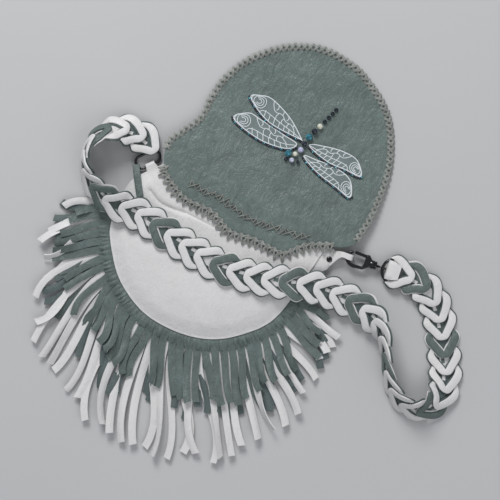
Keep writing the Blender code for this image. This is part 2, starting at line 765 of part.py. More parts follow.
def strap_frames(seam):
    """Places, lengths, width directions and normals at equal steps along the strap."""
    flat, roll = strap_route()
    tangents = directions_along(flat)
    sideways = np.stack([-tangents[:, 1], tangents[:, 0]], axis=1)
    half = STRAP_WIDTH / 2
    base = np.zeros(len(flat))
    for index, (place, side, turn) in enumerate(zip(flat, sideways, roll)):
        reach = half * math.cos(turn) * side
        base[index] = max(ground_top(place + share * reach, seam) for share in (-1, -0.5, 0, 0.5, 1))
    base = softened(eased(base, STRAP_EASE_SAMPLES), STRAP_EASE_SAMPLES)
    height = base + STRAP_CLEAR + half * np.abs(np.sin(roll)) + LINK_THICKNESS / 2 * np.cos(roll)
    centre = np.column_stack([flat, height])
    along = lengths_along(centre)
    tangents = directions_along(centre)
    level = np.column_stack([sideways, np.zeros(len(flat))])
    width = np.cos(roll)[:, None] * level + np.sin(roll)[:, None] * np.array((0, 0, 1.0))
    width -= np.sum(width * tangents, axis=1)[:, None] * tangents
    width /= np.linalg.norm(width, axis=1)[:, None]
    return centre, along, width, np.cross(tangents, width)


def eased(heights, reach):
    """Heights raised to their highest neighbour within twice the reach, so that averages clear them."""
    padded = np.pad(heights, 2 * reach, mode="edge")
    return np.array([padded[i : i + 4 * reach + 1].max() for i in range(len(heights))])


def link_outline():
    """One V in the strap's own length and width, its point at zero: left leg, point, right leg."""
    half = LINK_LEG_WIDTH / 2
    spread = STRAP_WIDTH / 2 - half
    angle = math.asin(spread / (LINK_LEG_LENGTH - half))
    run = (LINK_LEG_LENGTH - half) * math.cos(angle)
    right = []
    for turn in (90, 35, -35, -90):
        direction = angle + math.radians(turn)
        right.append((run + half * math.cos(direction), spread + half * math.sin(direction)))
    shoulder = (-half * math.sin(angle), half * math.cos(angle))
    crotch = (half / math.sin(angle), 0.0)
    left = [(s, -t) for s, t in right]
    return [(-half, 0.0), (shoulder[0], -shoulder[1])] + left + [crotch] + right[::-1] + [shoulder]


def build_strap(seam):
    """The chain of links: each run of white links is one solid, and each grey link its own."""
    centre, along, width, normal = strap_frames(seam)
    lead = LINK_LEG_WIDTH / 2
    tail = link_length()
    count = int((along[-1] - lead - tail) / LINK_PITCH) + 1
    pitch = (along[-1] - lead - tail) / (count - 1)
    frames = (centre, along, width, normal)
    group, made = [], 0
    for index in range(count):
        grey = index % (WHITE_LINKS + 1) == WHITE_LINKS
        if not grey:
            group.append(lead + index * pitch)
        if group and (grey or index == count - 1):
            made += 1
            build_links(f"strap_white_links_{made:02d}", group, pitch, frames, "white_leather")
            group = []
        if grey:
            start = lead + index * pitch
            build_links(f"strap_grey_link_{made:02d}", [start], pitch, frames, "grey_leather")


def link_length():
    """Reach of a link from its middle point to the end of its legs, along the strap."""
    return max(s for s, _ in link_outline())


def strap_solid(outline, plates, start, low, high, frames):
    """A plate laid along the strap, its outline given along and across from a start."""
    centre, along, width, normal = frames
    points = []
    for level in (low, high):
        for run, across in outline:
            place = np.array([start + run])
            middle = points_at(centre, along, place)[0]
            side = points_at(width, along, place)[0]
            up = points_at(normal, along, place)[0]
            points.append(tuple(middle + across * side + level * up))
    count = len(outline)
    upper = [tuple(index + count for index in plate) for plate in plates]
    lower = [tuple(reversed(plate)) for plate in plates]
    sides = [(i, (i + 1) % count, (i + 1) % count + count, i + count) for i in range(count)]
    return points, upper + lower + [tuple(reversed(side)) for side in sides]


def build_links(name, starts, pitch, frames, finish):
    """One or more links as one solid, each with a short tongue back towards the link before it."""
    half = LINK_THICKNESS / 2
    outline = link_outline()
    point, crotch, last = 0, 6, len(outline) - 1
    plates = [(1, 2, 3, 4, 5, crotch), (point, 1, crotch, last), (crotch, 7, 8, 9, 10, last)]
    item = add_object(name, *strap_solid(outline, plates, starts[0], -half, half, frames), finish)
    bite = LINK_LEG_WIDTH / 4
    inner, front = outline[crotch][0], pitch + outline[point][0] + bite
    for order, start in enumerate(starts):
        if start < pitch:
            continue
        rear = inner - bite if order else inner + TONGUE_CLEAR
        side, shoulder = LINK_BRIDGE / 2, rear + LINK_BRIDGE
        tongue = [(rear, 0), (shoulder, -side), (front, -side), (front, side), (shoulder, side)]
        bridge = strap_solid(tongue, [(0, 1, 4), (1, 2, 3, 4)], start - pitch, -half + GAP, 0.0, frames)
        joined_mesh(item, f"{name}_tongue_{order}", bridge)
        if order:
            link = strap_solid(outline, plates, start, -half, half, frames)
            joined_mesh(item, f"{name}_link_{order}", link)
    return item


def joined_mesh(item, name, solid):
    """Unites a solid with an object through a guide."""
    guide = add_object(name, *solid, "white_leather")
    boolean(item, guide, "UNION")


# Hardware


def clasp_place(along, across, up):
    """A place on the right clasp: from its barrel's end towards the hook's tip, across and up."""
    barrel = np.array((CLASP_BARREL[0] * BODY_WIDTH / 2, CLASP_BARREL[1] * BODY_DEPTH))
    axis = -np.array((math.cos(CLASP_ANGLE), math.sin(CLASP_ANGLE)))
    side = np.array((axis[1], -axis[0]))
    place = barrel + along * axis + across * side
    return np.array((place[0], place[1], CLASP_AXIS_Z + up))


def clasp_solid(solid):
    """The same solid, with its points read as places on the clasp."""
    points, faces = solid
    return [clasp_place(*point) for point in points], faces


def eye_centre():
    """Where the swivel eye's middle lies, behind the barrel."""
    return -(EYE_RADIUS + EYE_ROD + GAP)


def bow_place():
    """Where the D-ring's bow hangs in the swivel eye."""
    return eye_centre() - (EYE_RADIUS - EYE_ROD - METAL_ROD - GAP)


def bar_place():
    """Where the D-ring's straight bar lies."""
    return bow_place() - (D_RING_DEPTH - 2 * METAL_ROD)


def disc(radius, sides):
    """Points round a circle."""
    return [(radius * math.cos(a), radius * math.sin(a)) for a in 2 * math.pi * np.arange(sides) / sides]


def cylinder_along(start, end, radius, sides):
    """A cylinder along the clasp's axis."""
    return lofted([[(along, y, z) for y, z in disc(radius, sides)] for along in (start, end)])


def upright_cylinder(centre, low, high, radius, sides=ROUND_SIDES):
    """A cylinder along the third direction."""
    outline = [(centre[0] + x, centre[1] + y) for x, y in disc(radius, sides)]
    return flat_plate(outline, low, high)


def hook_outline():
    """The hook seen flat: from the barrel round its tip to the nose, and back inside."""
    root, bend = BARREL_LENGTH - 2 * GAP, CLASP_LENGTH * HOOK_BEND_SHARE
    outer = (CLASP_LENGTH - bend, CLASP_HALF_WIDTH)
    inner = (outer[0] - CLASP_ROD, outer[1] - CLASP_ROD)
    turns = np.radians((-90, -60, -30, 0, 30, HOOK_NOSE_DEGREES))
    outside = [(bend + outer[0] * math.cos(a), outer[1] * math.sin(a)) for a in turns]
    inside = [(bend + inner[0] * math.cos(a), inner[1] * math.sin(a)) for a in turns[::-1]]
    ear = GATE_PIVOT[0] + EAR_REACH
    near, far = GATE_PIVOT[0] - EAR_REACH, GATE_PIVOT[1] + EAR_REACH
    narrow, wide = (-CLASP_HALF_WIDTH * share for share in HOOK_SHOULDER_SHARES)
    width = BARREL_RADIUS * HOOK_ROOT_SHARE
    lead = [(root, -width), (near, narrow), (ear, wide)]
    crook = (ear + CLASP_ROD * HOOK_CROOK_SHARE, -inner[1])
    back = [crook, (ear, -CLASP_HALF_WIDTH * HOOK_INSIDE_SHARE), (ear, far), (near, far), (root, width)]
    return lead + outside + inside + back


def build_clasp():
    """The clasp's hook with its gate, pin and swivel eye, and the D-ring that it hangs on."""
    half = CLASP_THICKNESS / 2
    axis_origin = tuple(clasp_place(0, 0, 0))
    hook = clasp_solid(flat_plate(hook_outline(), -half, half))
    item = add_object("clasp_hook", *hook, "black_nickel", origin=axis_origin)
    barrel = clasp_solid(cylinder_along(GAP, BARREL_LENGTH, BARREL_RADIUS, ROUND_SIDES))
    boolean(item, add_object("clasp_barrel_guide", *barrel, "black_nickel"), "UNION")
    depth = BARREL_LENGTH * BORE_SHARE
    bore = cylinder_along(-EYE_RADIUS, depth, SWIVEL_STEM + SWIVEL_CLEAR, ROUND_SIDES)
    boolean(item, add_object("clasp_bore_guide", *clasp_solid(bore), "black_nickel"), "DIFFERENCE")
    slot_half = GATE_THICKNESS / 2 + GAP
    low, high = GATE_PIVOT[1] - EAR_REACH - 2 * GAP, GATE_PIVOT[1] + 2 * EAR_REACH
    slot = [(GATE_PIVOT[0] + x * 2 * EAR_REACH, y) for x, y in ((-1, low), (1, low), (1, high), (-1, high))]
    slot = clasp_solid(flat_plate(slot, -slot_half, slot_half))
    boolean(item, add_object("clasp_slot_guide", *slot, "black_nickel"), "DIFFERENCE")
    hole = clasp_solid(upright_cylinder(GATE_PIVOT, -2 * half, 2 * half, PIN_RADIUS + PIN_CLEAR))
    hole = add_object("clasp_pin_hole_guide", *hole, "black_nickel")
    boolean(item, hole, "DIFFERENCE")
    pivot = tuple(clasp_place(*GATE_PIVOT, 0))
    gate = clasp_solid(flat_plate(gate_outline(), -GATE_THICKNESS / 2, GATE_THICKNESS / 2))
    boolean(add_object("clasp_gate", *gate, "black_nickel", origin=pivot), hole, "DIFFERENCE")
    pin = clasp_solid(upright_cylinder(GATE_PIVOT, -half, half, PIN_RADIUS, PIN_SIDES))
    add_object("clasp_gate_pin", *pin, "black_nickel", origin=axis_origin)
    build_swivel()


def gate_outline():
    """The sprung gate: round about its pin and straight to the nose."""
    bend = CLASP_LENGTH * HOOK_BEND_SHARE
    nose = math.radians(HOOK_NOSE_DEGREES)
    tip = bend + (CLASP_LENGTH - bend - CLASP_ROD) * math.cos(nose) - 2 * GAP
    outer = CLASP_HALF_WIDTH - GAP
    ends = [(tip, outer - GATE_WIDTH), (tip, outer)]
    turns = np.radians((100, 145, 190, 235, 270))
    radius = EAR_REACH - 2 * GAP
    x, y = GATE_PIVOT
    return ends + [(x + radius * math.cos(a), y + radius * math.sin(a)) for a in turns]


def build_swivel():
    """The eye that turns in the clasp's barrel, and the D-ring through it."""
    turns = 2 * math.pi * np.arange(16) / 16
    ring = [(eye_centre() + EYE_RADIUS * math.cos(a), 0, EYE_RADIUS * math.sin(a)) for a in turns]
    eye = rod_along(ring, EYE_ROD, 6, np.array((0, 1.0, 0)), closed=True)
    item = add_object("clasp_swivel_eye", *clasp_solid(eye), "black_nickel")
    stem = cylinder_along(eye_centre() + EYE_RADIUS, BARREL_LENGTH * STEM_SHARE, SWIVEL_STEM, PIN_SIDES)
    boolean(item, add_object("clasp_stem_guide", *clasp_solid(stem), "black_nickel"), "UNION")
    half = D_RING_WIDTH / 2 - METAL_ROD
    depth = D_RING_DEPTH - 2 * METAL_ROD
    turns = np.radians(range(0, 181, 15))
    bow = [(bar_place() + depth * math.sin(a), -half * math.cos(a), 0) for a in turns]
    straight = [(bar_place(), half * share, 0) for share in (0.6, 0.0, -0.6)]
    ring = rod_along(bow + straight, METAL_ROD, 8, np.array((0, 0, 1.0)), closed=True)
    add_object("d_ring_right", *clasp_solid(ring), "black_nickel")


def ring_place(along, across, up):
    """A place on the left ring: along its long side, across it away from the bag, and up."""
    centre = np.array((RING_CENTRE[0] * BODY_WIDTH / 2, RING_CENTRE[1] * BODY_DEPTH))
    axis = np.array((math.cos(RING_ANGLE), math.sin(RING_ANGLE)))
    place = centre + along * axis + across * np.array((-axis[1], axis[0]))
    return np.array((place[0], place[1], RING_Z + up))


def build_left_ring():
    """The oblong ring that joins the strap's left end to its tab."""
    half, bend = RING_LENGTH / 2 - METAL_ROD, RING_WIDTH / 2 - METAL_ROD
    turns = np.radians((-90, -54, -18, 18, 54, 90))
    right = [(half - bend + bend * math.cos(a), bend * math.sin(a), 0) for a in turns]
    left = [(-x, -y, 0) for x, y, _ in right]
    ring = rod_along(right + left, METAL_ROD, 8, np.array((0, 0, 1.0)), closed=True)
    add_object("strap_ring_left", [ring_place(*point) for point in ring[0]], ring[1], "black_nickel")


# Tabs, rivet and lace


def build_right_tab():
    """The right tab: sewn in the seam, narrowed to a neck through the hook, and riveted back."""
    reach = CLASP_THICKNESS / 2 + TAB_LOOP_CLEAR + LEATHER / 2
    tip = CLASP_LENGTH - CLASP_ROD / 2
    fold = CLASP_LENGTH - CLASP_ROD - 2 * TAB_LOOP_CLEAR - LEATHER / 2
    level = tab_level()
    sewn, edge = tab_seam_places()
    rivet = rivet_place()
    under = clasp_place(tip, 0, -reach)[2]
    (full, entry), (start, turn) = TAB_LOOP_TURNS
    bent = fold + reach * start
    upper = [(tip + 2 * CLASP_ROD, reach * entry), (tip, reach * full), (bent, reach * turn), (fold, 0)]
    lower = [(bent, -reach * turn), (tip, -reach), (tip + 2 * CLASP_ROD, -reach)]
    loop = [clasp_place(along, 0, up) for along, up in upper + lower]
    beyond = rivet + TAB_NECK_START * (loop[0][:2] - rivet)
    tail = rivet - TAB_TAIL_SHARE * (beyond - edge)
    route = [(*sewn, level), (*edge, level), (*rivet, level), (*beyond, level)] + loop
    route += [(*beyond, under), (*rivet, under), (*tail, under)]
    neck = TAB_NECK / 2
    widths = [TAB_BASE * share for share in TAB_TAPER] + [neck] * len(loop)
    widths += [neck * share for share in TAB_TAIL_WIDTHS]
    side = clasp_place(0, 1, 0) - clasp_place(0, 0, 0)
    ribbon = ribbon_along(route, widths, [side] * len(route), LEATHER)
    tab = add_object("tab_right", *ribbon, "white_leather")
    cut = upright_cylinder(rivet, -LEATHER, 2 * CLASP_AXIS_Z, RIVET_RADIUS + PIN_CLEAR)
    boolean(tab, add_object("rivet_hole_guide", *cut, "black_nickel"), "DIFFERENCE")
    low, high = under - LEATHER / 2 - GAP, level + LEATHER / 2 + GAP
    profile = ((RIVET_CAP, low - RIVET_CAP_HEIGHT / 2), (RIVET_CAP, low), (RIVET_RADIUS, low),
               (RIVET_RADIUS, high), (RIVET_CAP, high),
               (RIVET_CAP * RIVET_DOME_SHARE, high + RIVET_CAP_HEIGHT))
    sections = []
    for radius, z in profile:
        sections.append([(rivet[0] + x, rivet[1] + y, z) for x, y in disc(radius, ROUND_SIDES)])
    add_object("tab_rivet_right", *lofted(sections), "black_nickel")


def tab_level():
    """Height of a tab's middle where it is sewn under the back panel."""
    return SEAM_LEVEL - GAP - LEATHER / 2


def tab_seam_places():
    """Where the right tab ends inside the seam, and where it leaves it."""
    seam = seam_line(BODY_POINTS)
    half = seam[len(seam) // 2 :]
    x = float(np.interp(-BODY_DEPTH * TAB_PLACE_SHARE, half[:, 1], half[:, 0]))
    edge = np.array((x + GAP, -BODY_DEPTH * TAB_PLACE_SHARE))
    return edge - np.array((FRINGE_HEADER, 0)), edge


def rivet_place():
    """The rivet's middle, on the way from the seam to the hook."""
    edge = tab_seam_places()[1]
    return edge + RIVET_SHARE * (clasp_place(CLASP_LENGTH, 0, 0)[:2] - edge)


def build_left_tab():
    """The left tab: a short neck from the seam over the ring's near side and back under it."""
    bend = RING_WIDTH / 2 - METAL_ROD
    reach = METAL_ROD + GAP + LEATHER / 2
    near = -bend
    level = tab_level() - RING_Z
    inside = near - reach - FRINGE_HEADER * LEFT_TAB_SEWN_SHARE
    loop = []
    for turn in np.radians((0, 45, 90, 135, 180)):
        loop.append(ring_place(0, near + reach * math.sin(turn), reach * math.cos(turn)))
    leaving = ring_place(0, near - reach * LEFT_TAB_BEND_SHARE, level)
    route = [ring_place(0, inside, level), leaving] + loop
    route.append(ring_place(0, near - reach, -reach))
    side = ring_place(1, 0, 0) - ring_place(0, 0, 0)
    widths = [TAB_NECK] * 2 + [TAB_NECK * LEFT_TAB_NECK_SHARE] * (len(route) - 2)
    add_object("tab_left", *ribbon_along(route, widths, [side] * len(route), LEATHER), "white_leather")


def build_corner_lace(seam):
    """The grey lace from the strap's lower edge over the panel's corner to the left ring."""
    places = [np.array((x * BODY_WIDTH / 2, y * BODY_DEPTH)) for x, y in CORNER_LACE]
    lift = LEATHER + 2 * GAP + FRINGE_LEATHER / 2
    route = [(*place, back_level(place, seam) + lift) for place in places]
    end = ring_place(-RING_LENGTH / 2 + METAL_ROD, 0, METAL_ROD + GAP + FRINGE_LEATHER / 2)
    route.append(tuple(end))
    line = curve_through(route, 9)
    tangents = directions_along(line)
    across = [np.array((-t[1], t[0], 0)) for t in tangents]
    widths = [LACE_STRIP_WIDTH / 2] * len(line)
    add_object("corner_lace", *ribbon_along(line, widths, across, FRINGE_LEATHER), "grey_leather")


def main():
    """Builds the whole bag."""
    clear_scene()
    seam = seam_line(BODY_POINTS)
    build_panels(seam)
    build_fringe(seam)
    build_flap()
    build_dragonfly()
    build_strap(seam)
    build_clasp()
    build_left_ring()
    build_right_tab()
    build_left_tab()
    build_corner_lace(seam)


main()
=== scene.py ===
"""Dresses the fringed leather bag: leather, lacing, strap, fittings and beaded dragonfly.

Plan places are in metres from the middle of the mouth, as in the part's source, with Z up from
the table. Shape.placed() moves them by MOUTH_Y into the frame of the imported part.
"""

import logging
import math
import random
from collections.abc import Callable, Iterator, Sequence
from contextlib import contextmanager
from dataclasses import dataclass, field
from enum import Enum
from functools import partial

import bpy
import numpy as np
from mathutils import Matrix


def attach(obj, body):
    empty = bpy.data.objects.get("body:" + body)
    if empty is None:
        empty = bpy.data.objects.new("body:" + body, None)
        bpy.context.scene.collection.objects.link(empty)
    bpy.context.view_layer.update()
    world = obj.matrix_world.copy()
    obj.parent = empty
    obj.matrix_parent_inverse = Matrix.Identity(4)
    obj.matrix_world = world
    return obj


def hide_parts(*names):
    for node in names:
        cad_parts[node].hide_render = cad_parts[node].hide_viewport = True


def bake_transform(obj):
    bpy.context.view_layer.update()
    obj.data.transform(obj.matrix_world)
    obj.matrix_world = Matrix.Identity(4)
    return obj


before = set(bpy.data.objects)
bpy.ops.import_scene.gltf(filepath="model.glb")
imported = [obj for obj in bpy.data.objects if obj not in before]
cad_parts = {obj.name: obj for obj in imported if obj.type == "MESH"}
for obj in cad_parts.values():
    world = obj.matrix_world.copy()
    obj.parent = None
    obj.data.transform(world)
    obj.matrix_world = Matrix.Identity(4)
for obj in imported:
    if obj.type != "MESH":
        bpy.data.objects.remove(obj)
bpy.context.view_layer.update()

LOG = logging.getLogger("bag")
Points = np.ndarray
Face = tuple[int, ...]
Colour = tuple[float, float, float]
Spots = tuple[tuple[float, float], ...]

# Sizes in metres that the part's source has too
MOUTH_Y = 0.055
LEATHER = 0.0012
FRINGE_LEATHER = 0.0010
GAP = 0.0003
BODY_WIDTH = 0.178
BODY_DEPTH = 0.125

# Plan places given as shares are multiplied by this
POUCH_SCALE = (BODY_WIDTH / 2, BODY_DEPTH)
# The lowest that leather comes to the table
OVER_TABLE = 0.0002
UP = np.array((0.0, 0.0, 1.0))


class Body(Enum):
    """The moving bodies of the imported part."""

    BAG = "bag"
    FLAP = "flap"
    CLASP = "clasp"
    GATE = "gate"


class Slot(Enum):
    """Names of material slots."""

    WHITE = "white_leather"
    GREY = "grey_leather"
    DARK_GREY = "dark_grey_leather"
    SINEW = "sinew_lacing"
    WING = "silver_wing"
    NICKEL = "black_nickel"
    TEAL = "bead_teal"
    DARK = "bead_dark"
    PALE = "bead_pale"


# Curves and smooth steps


def smooth_step(value: Points | float) -> Points:
    """Rises smoothly from zero to one as the value does."""
    share = np.clip(value, 0.0, 1.0)
    return share * share * (3 - 2 * share)


def lengths_along(line: Points) -> Points:
    """The length from the first point to each point of a line."""
    steps = np.linalg.norm(np.diff(line, axis=0), axis=1)
    return np.concatenate([[0.0], np.cumsum(steps)])


def points_at(line: Points, along: Points, places: Points) -> Points:
    """Points of a line at given lengths from its start."""
    return np.stack([np.interp(places, along, line[:, axis]) for axis in range(line.shape[1])], axis=-1)


def resample(line: Points, count: int) -> Points:
    """The same line with count points at equal steps."""
    along = lengths_along(line)
    return points_at(line, along, np.linspace(0, along[-1], count))


def curve_through(points: Sequence, count: int, closed: bool = False) -> Points:
    """Evenly spaced points on a smooth curve through the given ones.

    Args:
        points: places that the curve passes.
        count: how many points come back.
        closed: whether the curve returns to its start.

    Returns:
        The points, without a repeated last one on a closed curve.
    """
    given = [np.asarray(point, float) for point in points]
    if closed:
        given = [given[-1]] + given + given[:2]
    else:
        given = [2 * given[0] - given[1]] + given + [2 * given[-1] - given[-2]]
    dense = []
    for before, start, end, after in zip(given, given[1:], given[2:], given[3:]):
        for share in np.arange(0, 1, 1 / 12):
            linear = (end - before) * share
            square = (2 * before - 5 * start + 4 * end - after) * share**2
            cube = (3 * start - before - 3 * end + after) * share**3
            dense.append(start + (linear + square + cube) / 2)
    dense.append(given[-2])
    if closed:
        return resample(np.array(dense), count + 1)[:-1]
    return resample(np.array(dense), count)


def directions_along(line: Points) -> Points:
    """Unit tangents of a line."""
    tangents = np.gradient(line, axis=0)
    return tangents / np.linalg.norm(tangents, axis=1)[:, None]


def outward_of(line: Points) -> Points:
    """Unit normals on the right-hand side of a plan line."""
    tangents = directions_along(line)
    return np.stack([tangents[:, 1], -tangents[:, 0]], axis=1)


def distances_to(points: Points, line: Points) -> Points:
    """Distance from each plan point to a plan line."""
    starts, runs = line[:-1], np.diff(line, axis=0)
    away = points[:, None, :] - starts[None]
    shares = np.clip(np.sum(away * runs, axis=2) / np.sum(runs * runs, axis=1), 0, 1)
    return np.min(np.linalg.norm(away - shares[..., None] * runs, axis=2), axis=1)


def inside(places: Points, outline: Points) -> Points:
    """Whether each plan place lies inside a closed outline."""
    found = np.zeros(len(places), dtype=bool)
    level = 1e-12
    for here, after in zip(outline, np.roll(outline, -1, axis=0)):
        crosses = (here[1] > places[:, 1]) != (after[1] > places[:, 1])
        rise = after[1] - here[1]
        share = (places[:, 1] - here[1]) / (rise if abs(rise) > level else level)
        found ^= crosses & (places[:, 0] < here[0] + share * (after[0] - here[0]))
    return found


def softened(values: Points, reach: int) -> Points:
    """Values averaged with their neighbours, the two ends kept in place."""
    before = 2 * values[0] - values[reach:0:-1]
    after = 2 * values[-1] - values[-2 : -reach - 2 : -1]
    padded = np.concatenate([before, values, after])
    return np.stack([padded[i : i + 2 * reach + 1].mean(axis=0) for i in range(len(values))])


def ripple(points: Points, scale: float, seed: int, waves: int = 7) -> Points:
    """A soft uneven swell between about -1 and 1, from a few crossing waves.

    Args:
        points: plan points.
        scale: the usual distance between swells in metres.
        seed: picks the waves.
        waves: how many waves cross.

    Returns:
        One value for each point.
    """
    draw = random.Random(seed)
    total = np.zeros(len(points))
    for _ in range(waves):
        turn, phase = draw.uniform(0, 2 * math.pi), draw.uniform(0, 2 * math.pi)
        pitch = scale * draw.uniform(0.7, 1.6)
        run = points[:, 0] * math.cos(turn) + points[:, 1] * math.sin(turn)
        total += np.sin(2 * math.pi * run / pitch + phase)
    return total / math.sqrt(waves) / 1.4


# Mesh making


def clear_selection() -> None:
    """Deselects everything, the CAD nodes among it."""
    if bpy.context.object and bpy.context.object.mode != "OBJECT":
        bpy.ops.object.mode_set(mode="OBJECT")
    bpy.ops.object.select_all(action="DESELECT")


def make_active(item: bpy.types.Object) -> None:
    """Selects one object alone and makes it active."""
    clear_selection()
    item.select_set(True)
    bpy.context.view_layer.objects.active = item


def apply_modifier(item: bpy.types.Object, kind: str, **settings: object) -> None:
    """Adds a modifier with its settings and applies it."""
    make_active(item)
    modifier = item.modifiers.new(kind.lower(), kind)
    for name, value in settings.items():
        setattr(modifier, name, value)
    bpy.ops.object.modifier_apply(modifier=modifier.name)


@contextmanager
def editing() -> Iterator[None]:
    """Edit mode on the active object with everything selected."""
    bpy.ops.object.mode_set(mode="EDIT")
    bpy.ops.mesh.select_all(action="SELECT")
    yield
    bpy.ops.object.mode_set(mode="OBJECT")


def new_object(name: str, points: Points, faces: Sequence[Face]) -> bpy.types.Object:
    """An object in the scene with a mesh of these points and faces."""
    mesh = bpy.data.meshes.new(name)
    mesh.from_pydata([tuple(point) for point in points], [], faces)
    item = bpy.data.objects.new(name, mesh)
    bpy.context.scene.collection.objects.link(item)
    return item


def face_up(item: bpy.types.Object) -> None:
    """Turns a sheet's faces over where they look down."""
    if sum(polygon.normal.z for polygon in item.data.polygons) < 0:
        item.data.flip_normals()


def grid_faces(rows: int, columns: int) -> list[Face]:
    """Faces of a grid whose points run row by row."""
    faces: list[Face] = []
    for row in range(rows - 1):
        for column in range(columns - 1):
            here, above = row * columns + column, (row + 1) * columns + column
            faces.append((here, here + 1, above + 1, above))
    return faces


def ring_faces(rings: int, around: int, closed: bool = False) -> list[Face]:
    """Faces of a skin over rings of points, with both ends capped unless they meet."""
    faces: list[Face] = []
    for ring in range(rings if closed else rings - 1):
        here, after = ring * around, (ring + 1) % rings * around
        for side in range(around):
            other = (side + 1) % around
            faces.append((here + side, here + other, after + other, after + side))
    if not closed:
        last = (rings - 1) * around
        faces += [tuple(range(around))[::-1], tuple(range(last, last + around))]
    return faces


@dataclass
class Shape:
    """A mesh being made.

    Attributes:
        points: places of its vertices.
        faces: its faces.
        pattern: two pattern places for each vertex, in metres.
        tones: material index of each face.
    """

    points: Points
    faces: list[Face]
    pattern: Points | None = None
    tones: list[int] = field(default_factory=list)

    def __post_init__(self) -> None:
        """Fills in what was left out."""
        self.points = np.asarray(self.points, float)
        if self.pattern is None:
            self.pattern = self.points[:, :2].copy()
        if not self.tones:
            self.tones = [0] * len(self.faces)

    def moved(self, place: Callable[[Points], Points], tone: int | None = None) -> "Shape":
        """A copy whose points a function has placed, with a tone for all its faces."""
        tones = list(self.tones) if tone is None else [tone] * len(self.faces)
        return Shape(place(self.points), list(self.faces), self.pattern.copy(), tones)

    def placed(
        self,
        name: str,
        materials: Sequence[bpy.types.Material],
        body: Body | None,
        slot: Slot,
        nodes: Sequence[str] = (),
        crease: float = 40.0,
        flat: bool = False,
    ) -> bpy.types.Object:
        """Makes the finished piece in the part's frame.

        Args:
            name: the piece's name.
            materials: its materials, in the order of the tones.
            body: the body that it rides on, or None.
            slot: not used.
            nodes: CAD nodes that it stands for.
            crease: angle in degrees past which an edge stays sharp.
            flat: whether all faces stay flat, as on a cut bead.

        Returns:
            The object.
        """
        item = new_object(name, self.points + np.array((0, MOUTH_Y, 0)), self.faces)
        mesh = item.data
        for material in materials:
            mesh.materials.append(material)
        mesh.polygons.foreach_set("material_index", self.tones)
        layer = mesh.uv_layers.new(name="pattern")
        corners = np.zeros(len(mesh.loops), dtype=np.int32)
        mesh.loops.foreach_get("vertex_index", corners)
        layer.data.foreach_set("uv", self.pattern[corners].astype(np.float32).ravel())
        close_and_face_out(item)
        if not flat:
            make_active(item)
            bpy.ops.object.shade_smooth_by_angle(angle=math.radians(crease))
        if body:
            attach(item, body.value)
        if nodes:
            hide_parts(*nodes)
        LOG.info("%s: %d faces", name, len(mesh.polygons))
        return item


def close_and_face_out(item: bpy.types.Object) -> None:
    """Merges doubled points and turns all faces outwards."""
    make_active(item)
    with editing():
        bpy.ops.mesh.remove_doubles(threshold=1e-6)
        bpy.ops.mesh.select_all(action="SELECT")
        bpy.ops.mesh.normals_make_consistent(inside=False)


def joined(shapes: Sequence[Shape]) -> Shape:
    """Several shapes as one."""
    points, faces, patterns, tones, start = [], [], [], [], 0
    for shape in shapes:
        points.append(shape.points)
        patterns.append(shape.pattern)
        faces += [tuple(index + start for index in face) for face in shape.faces]
        tones += shape.tones
        start += len(shape.points)
    return Shape(np.concatenate(points), faces, np.concatenate(patterns), tones)


def taken(item: bpy.types.Object) -> Shape:
    """Reads a working object as a shape and removes it."""
    mesh = item.data
    points = np.array([tuple(item.matrix_world @ vertex.co) for vertex in mesh.vertices])
    faces = [tuple(polygon.vertices) for polygon in mesh.polygons]
    bpy.data.objects.remove(item, do_unlink=True)
    bpy.data.meshes.remove(mesh)
    return Shape(points, faces)


def bevelled(item: bpy.types.Object, width: float, segments: int, angle: float = 60.0) -> None:
    """Rounds a working object's edges that are sharper than an angle in degrees."""
    limit = math.radians(angle)
    apply_modifier(item, "BEVEL", width=width, segments=segments, limit_method="ANGLE", angle_limit=limit)


def strip_pattern(width: float, thickness: float, spans: int, lanes: int, soft: float = 0.0) -> Shape:
    """A flat strip along X from 0 to 1, across Y, that is placed many times.

    Args:
        width: its width in metres.
        thickness: its thickness in metres.
        spans: divisions along it.
        lanes: divisions across it.
        soft: how far its long edges are rounded, in metres.

    Returns:
        The strip as a shape.
    """
    clear_selection()
    bpy.ops.mesh.primitive_grid_add(x_subdivisions=spans, y_subdivisions=lanes, size=1.0)
    item = bpy.context.active_object
    with editing():
        bpy.ops.transform.resize(value=(1.0, width, 1.0))
        bpy.ops.transform.translate(value=(0.5, 0.0, 0.0))
    apply_modifier(item, "SOLIDIFY", thickness=thickness, offset=0.0)
    if soft:
        bevelled(item, soft, 1)
    return taken(item)


def along_line(
    shape: Shape,
    line: Points,
    ups: Points,
    arch: Points | float = 0.0,
    scale: float = 1.0,
) -> Shape:
    """Lays a strip from 0 to 1 along a line in space.

    Args:
        shape: the strip, across Y and thick along Z.
        line: places of its middle line.
        ups: upward direction at each of these places.
        arch: how much higher the middle is than the edges, in metres, everywhere or at each place.
        scale: share of its own width.

    Returns:
        The placed strip, whose pattern runs along and across it.
    """
    along = lengths_along(line)
    places = shape.points[:, 0] * along[-1]
    middle = points_at(line, along, places)
    tangent = points_at(directions_along(line), along, places)
    up = points_at(ups, along, places)
    side = np.cross(up, tangent)
    side /= np.linalg.norm(side, axis=1)[:, None]
    up = np.cross(tangent, side)
    up /= np.linalg.norm(up, axis=1)[:, None]
    half = max(np.abs(shape.points[:, 1]).max(), 1e-9)
    arches = points_at(np.broadcast_to(arch, (len(line),))[:, None], along, places)[:, 0]
    bow = arches * (1 - (shape.points[:, 1] / half) ** 2)
    points = middle + shape.points[:, 1:2] * scale * side + (shape.points[:, 2] + bow)[:, None] * up
    pattern = np.column_stack([places, shape.points[:, 1]])
    return Shape(points, list(shape.faces), pattern, list(shape.tones))


